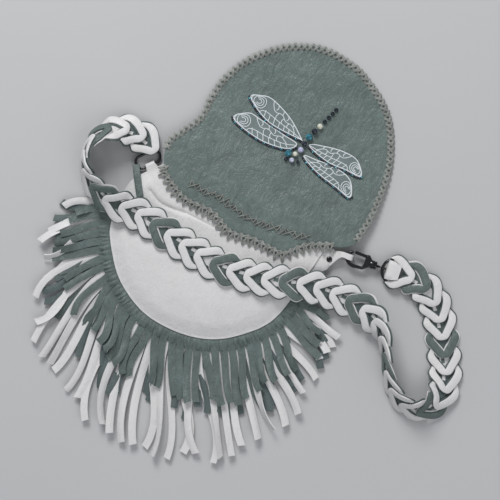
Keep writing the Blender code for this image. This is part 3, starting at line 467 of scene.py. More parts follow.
def tube(line: Points, radius: float, sides: int, up: Points, closed: bool = False) -> Shape:
    """A rod along a line in space.

    Args:
        line: its middle line.
        radius: its radius.
        sides: points round it.
        up: a direction that is never along the line.
        closed: whether its ends meet.

    Returns:
        The rod, closed at its ends.
    """
    if closed:
        tangents = np.roll(line, -1, axis=0) - np.roll(line, 1, axis=0)
    else:
        tangents = np.gradient(line, axis=0)
    turns = 2 * math.pi * np.arange(sides) / sides
    points, pattern = [], []
    along = lengths_along(line)
    for centre, tangent, run in zip(line, tangents, along):
        across = np.cross(tangent, up)
        across /= np.linalg.norm(across)
        lift = np.cross(across, tangent)
        lift /= np.linalg.norm(lift)
        for turn in turns:
            points.append(centre + radius * (math.cos(turn) * across + math.sin(turn) * lift))
            pattern.append((run, radius * turn))
    return Shape(np.array(points), ring_faces(len(line), sides, closed), np.array(pattern))


def hide_of(
    outline: Points,
    centre: Points,
    shares: Sequence[float],
    level: Callable[[Points], Points],
    thickness: float,
    soft: float,
) -> Shape:
    """A sheet of leather inside an outline, with rounded cut edges.

    Args:
        outline: its plan edge.
        centre: the plan point that its rings close on.
        shares: size of each ring, from 1 at the edge inwards.
        level: gives the underside's height at plan points.
        thickness: the leather's thickness.
        soft: radius of its rounded edges.

    Returns:
        The sheet.
    """
    count = len(outline)
    rings = [centre + share * (outline - centre) for share in shares]
    plan = np.concatenate(rings + [centre[None]])
    faces: list[Face] = []
    for ring in range(len(shares) - 1):
        for index in range(count):
            after = (index + 1) % count
            inner, outer = (ring + 1) * count, ring * count
            faces.append((outer + index, outer + after, inner + after, inner + index))
    last = (len(shares) - 1) * count
    faces += [(last + i, last + (i + 1) % count, len(plan) - 1) for i in range(count)]
    item = new_object("hide", np.column_stack([plan, level(plan)]), faces)
    close_and_face_out(item)
    face_up(item)
    apply_modifier(item, "SOLIDIFY", thickness=thickness, offset=1.0, use_even_offset=False)
    bevelled(item, soft, 2)
    return taken(item)


def plate_of(outline: Points, low: float, high: float, soft: float, segments: int = 3) -> Shape:
    """A flat plate with rounded edges, extruded from a face of the given outline.

    Args:
        outline: its plan edge.
        low: height of its underside.
        high: height of its top.
        soft: radius of its edges.
        segments: steps of the rounding.

    Returns:
        The plate.
    """
    clear_selection()
    bpy.ops.mesh.primitive_circle_add(vertices=len(outline), fill_type="NGON", radius=1.0)
    item = bpy.context.active_object
    for vertex, place in zip(item.data.vertices, outline):
        vertex.co = (place[0], place[1], low)
    with editing():
        bpy.ops.mesh.extrude_region_move(TRANSFORM_OT_translate={"value": (0, 0, high - low)})
        bpy.ops.mesh.select_all(action="SELECT")
        bpy.ops.mesh.normals_make_consistent(inside=False)
    bevelled(item, soft, segments, 50.0)
    return taken(item)


def thickened(shape: Shape, thickness: float) -> Shape:
    """Gives an open sheet its thickness upwards."""
    item = new_object("sheet", shape.points, shape.faces)
    face_up(item)
    apply_modifier(item, "SOLIDIFY", thickness=thickness, offset=1.0, use_even_offset=False)
    return taken(item)


def cut_away(shape: Shape, cutter: Shape) -> Shape:
    """A shape with another one cut out of it."""
    pair = []
    for name, source in (("body", shape), ("cutter", cutter)):
        item = new_object(name, source.points, source.faces)
        close_and_face_out(item)
        pair.append(item)
    apply_modifier(pair[0], "BOOLEAN", operation="DIFFERENCE", object=pair[1], solver="EXACT")
    taken(pair[1])
    return taken(pair[0])


# Shader maths and finishes


class Value:
    """A number socket that takes part in Python expressions."""

    def __init__(self, shading: "Shading", socket: bpy.types.NodeSocket) -> None:
        """Keeps the socket and its node tree."""
        self.shading, self.socket = shading, socket

    def __add__(self, other: object) -> "Value":
        """Adds."""
        return self.shading.maths("ADD", self, other)

    __radd__ = __add__

    def __sub__(self, other: object) -> "Value":
        """Subtracts."""
        return self.shading.maths("SUBTRACT", self, other)

    def __rsub__(self, other: object) -> "Value":
        """Subtracts this from the other."""
        return self.shading.maths("SUBTRACT", other, self)

    def __mul__(self, other: object) -> "Value":
        """Multiplies."""
        return self.shading.maths("MULTIPLY", self, other)

    def __truediv__(self, other: object) -> "Value":
        """Divides."""
        return self.shading.maths("DIVIDE", self, other)

    def clamped(self) -> "Value":
        """Kept between zero and one."""
        return self.shading.maths("MINIMUM", self.shading.maths("MAXIMUM", self, 0.0), 1.0)

    def between(self, low: float, high: float) -> "Value":
        """Zero at low, one at high and clamped outside."""
        return ((self - low) / (high - low)).clamped()


class Shading:
    """The node tree of one material."""

    def __init__(self, name: str) -> None:
        """Starts a Principled material."""
        self.material = bpy.data.materials.new(name)
        self.material.use_nodes = True
        self.tree = self.material.node_tree
        self.shader = self.tree.nodes["Principled BSDF"]

    def node(
        self,
        kind: str,
        settings: dict[str, object],
        inputs: dict[str | int, object],
    ) -> bpy.types.Node:
        """Adds a node.

        Args:
            kind: its type.
            settings: its properties, which are set first.
            inputs: values or links of its sockets.

        Returns:
            The node.
        """
        node = self.tree.nodes.new(kind)
        for name, value in settings.items():
            setattr(node, name, value)
        for name, value in inputs.items():
            self.feed(node.inputs[name], value)
        return node

    def feed(self, socket: bpy.types.NodeSocket, value: object) -> None:
        """Links or sets one socket."""
        if isinstance(value, Value):
            value = value.socket
        if isinstance(value, bpy.types.NodeSocket):
            self.tree.links.new(value, socket)
        elif isinstance(value, tuple) and socket.type == "RGBA":
            socket.default_value = (*value, 1.0)
        else:
            socket.default_value = value

    def maths(self, operation: str, first: object, second: object) -> Value:
        """A Math node on two values."""
        node = self.node("ShaderNodeMath", {"operation": operation}, {0: first, 1: second})
        return Value(self, node.outputs[0])

    def places(
        self,
        stretch: tuple[float, float, float] = (1.0, 1.0, 1.0),
        own: bool = False,
    ) -> bpy.types.NodeSocket:
        """Object coordinates, or the piece's own pattern map, stretched."""
        if own:
            source = self.node("ShaderNodeUVMap", {"uv_map": "pattern"}, {}).outputs[0]
        else:
            source = self.node("ShaderNodeTexCoord", {}, {}).outputs["Object"]
        scaled = self.node("ShaderNodeVectorMath", {"operation": "MULTIPLY"}, {0: source, 1: stretch})
        return scaled.outputs[0]

    def noise(
        self,
        where: bpy.types.NodeSocket,
        size: float,
        detail: float = 2.0,
        rough: float = 0.5,
        twist: float = 0.0,
    ) -> Value:
        """Noise whose patches are about size metres."""
        inputs = {
            "Vector": where, "Scale": 1 / size, "Detail": detail,
            "Roughness": rough, "Distortion": twist,
        }
        return Value(self, self.node("ShaderNodeTexNoise", {}, inputs).outputs[0])

    def cells(self, where: bpy.types.NodeSocket, size: float, feature: str) -> Value:
        """Voronoi cells about size metres across."""
        inputs = {"Vector": where, "Scale": 1 / size}
        node = self.node("ShaderNodeTexVoronoi", {"feature": feature}, inputs)
        return Value(self, node.outputs["Distance"])

    def mix(self, factor: object, first: object, second: object) -> bpy.types.NodeSocket:
        """A colour between two."""
        node = self.node("ShaderNodeMix", {"data_type": "RGBA"}, {"Factor": factor})
        self.feed(node.inputs[6], first)
        self.feed(node.inputs[7], second)
        return node.outputs[2]

    def bump(
        self,
        height: Value,
        depth: float,
        below: bpy.types.NodeSocket | None = None,
    ) -> bpy.types.NodeSocket:
        """Relief of a depth in metres, over another relief."""
        node = self.node("ShaderNodeBump", {}, {"Height": height, "Strength": 1.0, "Distance": depth})
        if below:
            self.feed(node.inputs["Normal"], below)
        return node.outputs[0]

    def dress(self, **sockets: object) -> bpy.types.Material:
        """Feeds the shader's sockets, named with underscores for spaces."""
        for name, value in sockets.items():
            label = name.replace("_", " ").title().replace("Ior", "IOR")
            self.feed(self.shader.inputs[label], value)
        return self.material


def lighter(colour: Colour, share: float) -> Colour:
    """A colour multiplied by a share."""
    return tuple(min(part * share, 1.0) for part in colour)


@dataclass(frozen=True)
class Leather:
    """Soft garment leather with pebbled grain and slack creases, painted shade in the grain's valleys, and a tone that
    is partly painted sheen and shade over the creases.
    """

    name: str
    colour: Colour
    pebble: float
    depth: float
    creases: float
    spread: float
    roughness: float
    valley_shade: float
    slack_size: float = 0.014
    patch_size: float = 0.050

    def material(self) -> bpy.types.Material:
        """The leather's material."""
        shading = Shading(self.name)
        where = shading.places()
        bent = shading.noise(where, self.pebble * 2.5, 2.0)
        grain = shading.cells(where, self.pebble, "SMOOTH_F1")
        valleys = shading.cells(where, self.pebble * 0.9, "DISTANCE_TO_EDGE").between(0.0, 0.22)
        slack = shading.noise(where, self.slack_size, 3.0, 0.6, 0.8)
        drawn = shading.places((1.0, 0.34, 1.0))
        wrinkles = shading.noise(drawn, self.pebble * 3.0, 3.0, 0.65, 1.2)
        patches = shading.noise(where, self.patch_size, 3.0, 0.6)
        fine = shading.noise(where, 0.0005, 1.0)
        # The tone is partly the leather's own uneven colour and partly painted sheen and shade: it follows the same
        # slack and wrinkles as the relief, so swells are painted lighter and creases darker.
        tone = (slack * 0.35 + patches * 0.30 + wrinkles * 0.35).between(0.40, 0.60)
        dark, light = lighter(self.colour, 1 - self.spread), lighter(self.colour, 1 + self.spread)
        base = shading.mix(tone, dark, light)
        # Painted shade: the grain's valleys, with some noise, are darkened to a share of the colour, as if shade fell
        # between the pebbles.
        valley_shaded_colour = shading.mix((valleys + bent * 0.3).clamped(), lighter(self.colour, self.valley_shade), base)
        pebbles = shading.bump(grain * -0.6 + valleys * 0.5 + fine * 0.12, self.depth)
        relief = shading.bump(slack * 0.55 + wrinkles * 0.45, self.creases, pebbles)
        rough = self.roughness + 0.05 - tone * 0.08 - valleys * 0.04
        return shading.dress(base_color=valley_shaded_colour, roughness=rough, normal=relief, specular_ior_level=0.5)


@dataclass(frozen=True)
class Sinew:
    """Flat waxed lacing with fibres along it."""

    name: str = "sinew"
    colour: Colour = (0.222, 0.230, 0.214)

    def material(self) -> bpy.types.Material:
        """The lacing's material."""
        shading = Shading(self.name)
        own = shading.places((0.12, 1.0, 1.0), own=True)
        fibres = shading.noise(own, 0.00045, 2.0, 0.6)
        patches = shading.noise(shading.places(), 0.006, 2.0)
        tone = (fibres * 0.7 + patches * 0.3).between(0.32, 0.68)
        colour = shading.mix(tone, lighter(self.colour, 0.50), lighter(self.colour, 1.55))
        relief = shading.bump(fibres, 0.0003)
        return shading.dress(
            base_color=colour, roughness=0.62 - tone * 0.14, normal=relief, specular_ior_level=0.35,
        )


@dataclass(frozen=True)
class BlackNickel:
    """Glossy black plating with fine rubbing."""

    name: str = "black_nickel_plate"
    colour: Colour = (0.009, 0.009, 0.011)

    def material(self) -> bpy.types.Material:
        """The plating's material."""
        shading = Shading(self.name)
        rubbed = shading.noise(shading.places((1.0, 1.0, 0.25)), 0.0011, 4.0, 0.65)
        colour = shading.mix(rubbed.between(0.45, 0.75), self.colour, lighter(self.colour, 2.2))
        relief = shading.bump(rubbed, 0.00002)
        return shading.dress(
            base_color=colour, metallic=0.55, roughness=0.08 + rubbed * 0.12, normal=relief,
            coat_weight=0.5, coat_roughness=0.05,
        )


@dataclass(frozen=True)
class CutGlass:
    """Faceted glass bead with an iridescent coat, whose sheen is a painted glint: a lighter colour swirled into its
    own.
    """

    name: str
    colour: Colour
    painted_glint: Colour
    metallic: float = 0.35

    def material(self) -> bpy.types.Material:
        """The bead's material."""
        shading = Shading(self.name)
        where = shading.places()
        glint_swirl = shading.noise(where, 0.0022, 2.0, 0.5, 1.2)
        specks = shading.noise(where, 0.0006, 1.0)
        # Painted glint: swirling patches take the lighter glint colour in place of the glass's own.
        colour = shading.mix(glint_swirl.between(0.40, 0.62), self.colour, self.painted_glint)
        return shading.dress(
            base_color=colour, metallic=self.metallic, roughness=0.05 + specks * 0.08,
            coat_weight=0.8, coat_roughness=0.03,
        )


@dataclass(frozen=True)
class WingCloth:
    """Grey ground of the wings, a little silvery."""

    name: str = "wing_ground"
    colour: Colour = (0.130, 0.165, 0.165)

    def material(self) -> bpy.types.Material:
        """The ground's material."""
        shading = Shading(self.name)
        where = shading.places()
        weave = shading.noise(where, 0.0005, 1.0)
        patches = shading.noise(where, 0.008, 2.0)
        tone = (weave * 0.5 + patches * 0.5).between(0.3, 0.7)
        colour = shading.mix(tone, lighter(self.colour, 0.8), lighter(self.colour, 1.25))
        relief = shading.bump(weave, 0.00008)
        return shading.dress(base_color=colour, roughness=0.55 - weave * 0.1, normal=relief)


@dataclass(frozen=True)
class SilverThread:
    """White-silver embroidery thread."""

    name: str = "silver_thread"
    colour: Colour = (0.72, 0.76, 0.78)

    def material(self) -> bpy.types.Material:
        """The thread's material."""
        shading = Shading(self.name)
        twist = shading.noise(shading.places((1.0, 0.35, 1.0), own=True), 0.0004, 1.0)
        dark, light = lighter(self.colour, 0.72), lighter(self.colour, 1.15)
        colour = shading.mix(twist.between(0.3, 0.7), dark, light)
        relief = shading.bump(twist, 0.0001)
        return shading.dress(base_color=colour, roughness=0.42 - twist * 0.12, normal=relief)


class Finishes:
    """All materials of the bag, each made once."""

    def __init__(self) -> None:
        """Makes them."""
        self.white = Leather(
            "white_hide", (0.655, 0.645, 0.645), pebble=0.0014, depth=0.00012, creases=0.0010,
            spread=0.035, roughness=0.48, valley_shade=0.92,
        ).material()
        self.grey = Leather(
            "grey_hide", (0.108, 0.146, 0.136), pebble=0.0017, depth=0.00016, creases=0.0023,
            spread=0.28, roughness=0.42, valley_shade=0.84,
        ).material()
        self.fringe_grey = Leather(
            "grey_fringe_hide", (0.101, 0.136, 0.128), pebble=0.0015, depth=0.00018, creases=0.0018,
            spread=0.26, roughness=0.44, valley_shade=0.74,
        ).material()
        self.dark_grey = Leather(
            "dark_fringe_hide", (0.085, 0.114, 0.112), pebble=0.0015, depth=0.00022, creases=0.0010,
            spread=0.16, roughness=0.50, valley_shade=0.75,
        ).material()
        self.sinew = Sinew().material()
        self.nickel = BlackNickel().material()
        self.teal = CutGlass("teal_glass", (0.012, 0.10, 0.14), (0.05, 0.33, 0.42)).material()
        self.dark = CutGlass("jet_glass", (0.009, 0.009, 0.013), (0.016, 0.026, 0.055), 0.30).material()
        self.crystal = CutGlass("crystal_glass", (0.62, 0.66, 0.70), (0.42, 0.38, 0.72), 0.25).material()
        self.pale = CutGlass("pale_glass", (0.70, 0.74, 0.66), (0.60, 0.56, 0.42), 0.15).material()
        self.wing = WingCloth().material()
        self.thread = SilverThread().material()


# The pouch


@dataclass
class Pouch:
    """The flat pouch: its sewn outline, its two panels and the heights that others rest on."""

    finishes: Finishes
    seam_roll: float = 0.014
    crown_rise: float = 0.0085
    crown_start: float = 0.034
    crown_run: float = 0.040
    crown_reach: float = 0.050
    mouth_gap: float = 0.0060
    pucker: tuple[float, float] = (0.00075, 0.006)
    swells: Spots = ((0.0006, 0.055), (0.00022, 0.016))
    crease: tuple[float, float] = (0.0019, 0.0017)
    seam_shape: Spots = (
        (-0.916, 0.019), (-1.072, -0.119), (-1.148, -0.242), (-1.131, -0.512),
        (-1.008, -0.681), (-0.793, -0.854), (-0.464, -0.977), (-0.100, -0.999),
        (0.234, -0.946), (0.506, -0.814), (0.728, -0.607), (0.831, -0.225),
        (0.862, -0.072), (0.899, -0.008),
    )
    fold: Spots = ((-0.083, -0.024), (-0.070, -0.030), (-0.058, -0.0300), (-0.046, -0.0285))

    @property
    def seam_level(self) -> float:
        """Height of the back panel's edge over the table."""
        return LEATHER + 4 * GAP + 3 * FRINGE_LEATHER

    @property
    def mouth_level(self) -> float:
        """Height of the back panel at the mouth."""
        return max(LEATHER + self.mouth_gap, self.seam_level)

    def seam(self, count: int) -> Points:
        """Points along the seam from the left mouth corner to the right one."""
        return curve_through(np.array(self.seam_shape) * POUCH_SCALE, count)

    def back_level(self, points: Points) -> Points:
        """Height of the back panel's underside at plan points."""
        distance = distances_to(points, self.seam(90))
        side = smooth_step(distance / self.seam_roll) * (self.mouth_level - self.seam_level)
        dome = 1 - (1 - np.minimum(distance / self.crown_reach, 1)) ** 2
        crown = smooth_step((-points[:, 1] - self.crown_start) / self.crown_run) * dome * self.crown_rise
        return self.seam_level + side + crown

    def slack_level(self, points: Points) -> Points:
        """The same with the slack leather's folds, swells and puckers, which only go down."""
        seam = self.seam(200)
        distance = distances_to(points, seam)
        nearest = np.argmin(np.linalg.norm(points[:, None] - seam[None, ::2], axis=2), axis=1) / 100
        pucker = 0.5 + 0.5 * np.sin(nearest * 260 + 3 * np.sin(nearest * 37))
        low = self.pucker[0] * pucker * np.exp(-distance / self.pucker[1]) * smooth_step(distance / 0.002)
        for (depth, size), seed, margin in zip(self.swells, (3, 11), (0.02, 0.01)):
            low += depth * (0.5 + 0.5 * ripple(points, size, seed)) * smooth_step(distance / margin)
        from_crease = distances_to(points, curve_through(self.fold, 20))
        low += self.crease[0] * np.exp(-((from_crease / self.crease[1]) ** 2))
        return self.back_level(points) - low

    def build(self) -> None:
        """Makes the two panels."""
        seam = self.seam(170)
        centre = np.array((seam[:, 0].mean(), -BODY_DEPTH * 0.42))
        near = [1.0, 0.993, 0.984, 0.972, 0.958]
        shares = near + list(np.linspace(0.94, 0.03, 38))
        back = hide_of(seam, centre, shares, self.slack_level, LEATHER, 0.00045)
        white = [self.finishes.white]
        back.placed("pouch_back", white, Body.BAG, Slot.WHITE, ["back_panel"])
        lift = OVER_TABLE / 2
        rings = [1.0, 0.98, 0.9, 0.7, 0.4]
        flat = hide_of(seam, centre, rings, lambda plan: np.full(len(plan), lift), LEATHER - lift, 0.0004)
        flat.placed("pouch_front", white, Body.BAG, Slot.WHITE, ["front_panel"])


# The fringe


@dataclass
class FringeLayer:
    """One cut layer of fringe: a creased band in the seam and hand-cut strips that curl.

    Attributes:
        name: the piece's name.
        node: the CAD node that it stands for.
        material: its leather.
        slot: the slot name passed on with the piece.
        level: height of the layer in the seam.
        floor: height that its strips come down to.
        seed: picks the small differences of the hand.
        twists: how far strips may turn over, in degrees.
        lift: how far a free end may stand up.
        reach: usual length of a strip, used where tips has none.
        tips: plan places where strips end, in metres, from the left round to the right.
        count: how many strips are cut.
        phase: where in its share of the seam a strip starts.
        bunches: how many strips may lie together.
        start_share: depth at which the fringe starts, as a share of the pouch's.
        band: how far the uncut band reaches beyond the seam.
        header: how far it reaches into the seam.
        hem: distance before the seam at which the band starts to fall and crease.
        crease_depth: depth of the band's creases.
        spread: lengths of bunches, as shares of reach.
        slits: where on the band strips start, as shares of it.
        flow: directions in degrees in which strips lie, at shares along the seam.
        puff: how much the band rolls up.
    """

    name: str
    node: str
    material: bpy.types.Material
    slot: Slot
    level: float
    floor: float
    seed: int
    twists: tuple[float, ...]
    lift: float
    reach: float = 0.0
    tips: Points | None = None
    count: int = 37
    phase: float = 0.5
    bunches: tuple[int, ...] = (1, 1, 2)
    start_share: float = 0.39
    band: float = 0.0100
    header: float = 0.0060
    hem: float = 0.0005
    crease_depth: float = 0.00085
    spread: tuple[float, float] = (0.86, 1.10)
    slits: tuple[float, float] = (0.15, 0.75)
    flow: Spots = (
        (0.0, 198.0), (0.12, 228.0), (0.27, 262.0), (0.62, 299.0), (0.80, 315.0), (1.0, 350.0),
    )
    puff: float = 0.0
    width: float = field(init=False, default=0.0)

    def seam_part(self, pouch: Pouch) -> Points:
        """The part of the seam that carries fringe."""
        seam = pouch.seam(400)
        along = lengths_along(seam)
        half = len(seam) // 2
        depth = BODY_DEPTH * self.start_share
        start = np.interp(depth, -seam[:half, 1], along[:half])
        end = np.interp(-depth, seam[half:, 1], along[half:])
        return points_at(seam, along, np.linspace(start, end, 600))

    def band_level(self, row: Points | float) -> Points:
        """Height of the band's underside this far beyond the seam, without its creases."""
        beyond = row + self.hem
        roll = self.puff * np.sin(math.pi * np.clip(beyond / (self.band * 1.15), 0, 1))
        return self.level + roll - 0.0008 * smooth_step(beyond / self.band)

    def band_shape(self, line: Points) -> Shape:
        """The uncut band with fine creases across it."""
        count = self.count * 9
        places = resample(line, count)
        away = outward_of(places)
        draw = random.Random(self.seed + 5)
        rows = np.linspace(-self.header, self.band, 11)
        steps = np.arange(count)
        creases = softened(np.array([draw.uniform(-1, 1) for _ in range(count)]), 1) * 1.3
        creases += 0.8 * np.sin(steps * 1.3 + 1.6 * np.sin(steps * 0.17))
        creases += 0.7 * np.sin(steps * 0.41 + 2 * np.sin(steps * 0.063))
        points = []
        for row in rows:
            deep = self.crease_depth * smooth_step((row + self.hem) / self.band)
            height = np.maximum(self.band_level(row) + creases * deep, OVER_TABLE + 0.0001)
            points.append(np.column_stack([places + row * away, height]))
        sheet = Shape(np.concatenate(points), grid_faces(len(rows), count))
        return thickened(sheet, FRINGE_LEATHER)

    def strip_line(
        self,
        base: Points,
        away: Points,
        tip: Points,
        bend: tuple[float, float],
        draw: random.Random,
    ) -> Points:
        """The middle line of one strip in space.

        Args:
            base: its start in plan, on the band.
            away: direction out of the seam there.
            tip: its end in plan.
            bend: its sway as a share of its length, and how far beyond the seam it starts.
            draw: small differences of the hand.

        Returns:
            The line, sunk into the band at its start.
        """
        run = np.linalg.norm(tip - base)
        ahead = (tip - base) / run
        side = np.array((-ahead[1], ahead[0])) * bend[0] * run
        first = base + 0.34 * run * (0.7 * away + 0.3 * ahead) - 0.7 * side
        second = base + 0.68 * run * ahead + 1.3 * side
        t = np.linspace(0, 1, 31)[:, None]
        plan = (1 - t) ** 3 * base + 3 * (1 - t) ** 2 * t * first
        plan = plan + 3 * (1 - t) * t**2 * second + t**3 * tip
        share, beyond = t[:, 0], t[:, 0] * run
        height = self.band_level(bend[1] + beyond) + FRINGE_LEATHER / 2 + 0.0002
        height -= 0.0010 * (1 - smooth_step(beyond / 0.0045))
        height += (self.floor - self.level + 0.0004) * smooth_step((bend[1] + beyond - self.band) / 0.03)
        waves = 0.0008 * (1 + np.sin(share * draw.uniform(4, 9) + draw.uniform(0, 6)))
        waves *= smooth_step((share - 0.2) / 0.8)
        rise = draw.uniform(0, 1) ** 2 * self.lift
        return np.column_stack([plan, height + waves + rise * smooth_step((share - 0.45) / 0.55)])

    def strip(self, pattern: Shape, line: Points, draw: random.Random) -> Shape:
        """One strip laid along its line, twisted a little and cut at a slant."""
        share = np.linspace(0, 1, len(line))
        twist = draw.choice((-1, 1)) * draw.uniform(2, draw.choice(self.twists))
        lean = math.radians(twist) * smooth_step((share - 0.25) / 0.6)
        line[:, 2] += self.width / 2 * np.abs(np.sin(lean))
        tangents = directions_along(line)
        flat = np.column_stack([-tangents[:, 1], tangents[:, 0], np.zeros(len(line))])
        ups = np.cos(lean)[:, None] * UP + np.sin(lean)[:, None] * flat
        slant, taper = draw.uniform(-0.3, 0.3), draw.uniform(0.84, 1.04)

        def cut(points: Points) -> Points:
            """Slants and narrows the free end."""
            moved = points.copy()
            end = smooth_step((points[:, 0] - 0.8) / 0.2)
            moved[:, 0] -= end * (0.02 + abs(slant) * self.width / 0.08 / 2 + slant * points[:, 1] / 0.08)
            moved[:, 1] *= 1 - (1 - taper) * smooth_step((points[:, 0] - 0.15) / 0.5)
            return moved

        arch = draw.uniform(-0.0003, 0.0011) * smooth_step((share - 0.12) / 0.4)
        strip = along_line(pattern.moved(cut), line, ups, arch)
        strip.points[:, 2] = np.maximum(strip.points[:, 2], OVER_TABLE)
        return strip

    def bunched(self, draw: random.Random) -> list[tuple[float, float, float, float]]:
        """For each strip the middle, turn, sway and length of its bunch."""
        shared: list[tuple[float, float, float, float]] = []
        while len(shared) < self.count:
            size = draw.choice(self.bunches)
            middle = (len(shared) + size / 2) / self.count
            turn, sway = math.radians(draw.uniform(-10, 10)), draw.uniform(-0.20, 0.20)
            shared += [(middle, turn, sway, draw.uniform(*self.spread))] * size
        return shared[: self.count]

    def build(self, pouch: Pouch) -> None:
        """Makes the layer."""
        draw = random.Random(self.seed)
        line = self.seam_part(pouch)
        shapes = [self.band_shape(line)]
        pattern = strip_pattern(1.0, FRINGE_LEATHER, 20, 3, 0.0002)
        along = lengths_along(line)
        self.width = along[-1] / self.count - 0.0002
        pattern.points[:, 1] *= self.width
        away = outward_of(line)
        for index, (middle, turn, sway, length) in enumerate(self.bunched(draw)):
            share = min(max((index + self.phase) / self.count, 0.0), 1.0)
            place = np.array([share * along[-1]])
            out = points_at(away, along, place)[0]
            row = self.band * draw.uniform(*self.slits)
            start = points_at(line, along, place)[0] + row * out
            tip = self.tip_of(share, start, (middle, turn, length), draw)
            bend = (sway + draw.uniform(-0.02, 0.02), row)
            shapes.append(self.strip(pattern, self.strip_line(start, out, tip, bend, draw), draw))
        joined(shapes).placed(self.name, [self.material], Body.BAG, self.slot, [self.node])

    def tip_of(
        self,
        share: float,
        start: Points,
        bunch: tuple[float, float, float],
        draw: random.Random,
    ) -> Points:
        """Where a strip ends, from its place along the seam and its bunch's middle, turn and length."""
        if self.tips is not None:
            place = share * (len(self.tips) - 1) + draw.uniform(-0.25, 0.25)
            tip = points_at(self.tips, np.arange(len(self.tips)), np.array([place]))[0]
            return start + (tip - start) * draw.uniform(0.93, 1.0)
        middle, turn, length = bunch
        side = 1 - 0.40 * (1 - math.sin(math.pi * share)) ** 1.5
        angle = math.radians(float(np.interp(middle, *np.transpose(self.flow)))) + turn
        angle += math.radians(draw.uniform(-1.5, 1.5))
        reach = self.reach * side * length * draw.uniform(0.96, 1.03)
        return start + reach * np.array((math.cos(angle), math.sin(angle)))


@dataclass
class Fringe:
    """The three layers of fringe, with the plan places where white strips end."""

    finishes: Finishes
    white_tips: Spots = (
        (-0.145, -0.070), (-0.147, -0.096), (-0.151, -0.111), (-0.136, -0.132), (-0.132, -0.151),
        (-0.129, -0.173), (-0.111, -0.201), (-0.103, -0.206), (-0.094, -0.2075), (-0.077, -0.222), (-0.061, -0.225),
        (-0.044, -0.232), (-0.026, -0.234), (-0.011, -0.235), (0.000, -0.236), (0.009, -0.236),
        (0.024, -0.235), (0.036, -0.231), (0.050, -0.224), (0.066, -0.219), (0.080, -0.215),
        (0.085, -0.203), (0.095, -0.192), (0.102, -0.172), (0.115, -0.162), (0.123, -0.146),
        (0.118, -0.120), (0.124, -0.104), (0.116, -0.091), (0.124, -0.083), (0.124, -0.067), (0.132, -0.053),
    )

    def build(self, pouch: Pouch) -> None:
        """Makes the layers from the table upwards."""
        step = FRINGE_LEATHER + GAP
        first = LEATHER + GAP
        tips = np.array(self.white_tips)
        kit = self.finishes
        layers = (
            FringeLayer(
                "fringe_under", "fringe_front_grey", kit.dark_grey, Slot.DARK_GREY,
                level=first, floor=0.0004, seed=41, twists=(6.0, 12.0, 18.0), lift=0.001, reach=0.070,
            ),
            FringeLayer(
                "fringe_white", "fringe_middle_white", kit.white, Slot.WHITE, level=first + step,
                floor=0.0013, seed=23, twists=(10.0, 30.0, 50.0, 74.0), lift=0.003, tips=tips, phase=0.0,
            ),
            FringeLayer(
                "fringe_top", "fringe_back_grey", kit.fringe_grey, Slot.GREY, level=first + 2 * step,
                floor=0.0029, seed=7, twists=(6.0, 14.0, 34.0), lift=0.005, reach=0.056, puff=0.0014,
                bunches=(1, 2, 2, 3, 4),
            ),
        )
        for layer in layers:
            layer.build(pouch)


# The flap


@dataclass(frozen=True)
class LaceRow:
    """One row of laces.

    Attributes:
        width: width of the flat lace.
        thickness: its thickness.
        pitch: distance between crosses.
        seed: picks the small differences of the hand.
    """

    width: float
    thickness: float
    pitch: float
    seed: int

    def start(self, rough: Points) -> tuple[random.Random, Shape, Points, Points]:
        """The draws, the lace's pattern, and the row's even places with their outward directions."""
        pattern = strip_pattern(self.width, self.thickness, 7, 2)
        places = resample(rough, round(lengths_along(rough)[-1] / self.pitch) + 1)
        return random.Random(self.seed), pattern, places, outward_of(places)


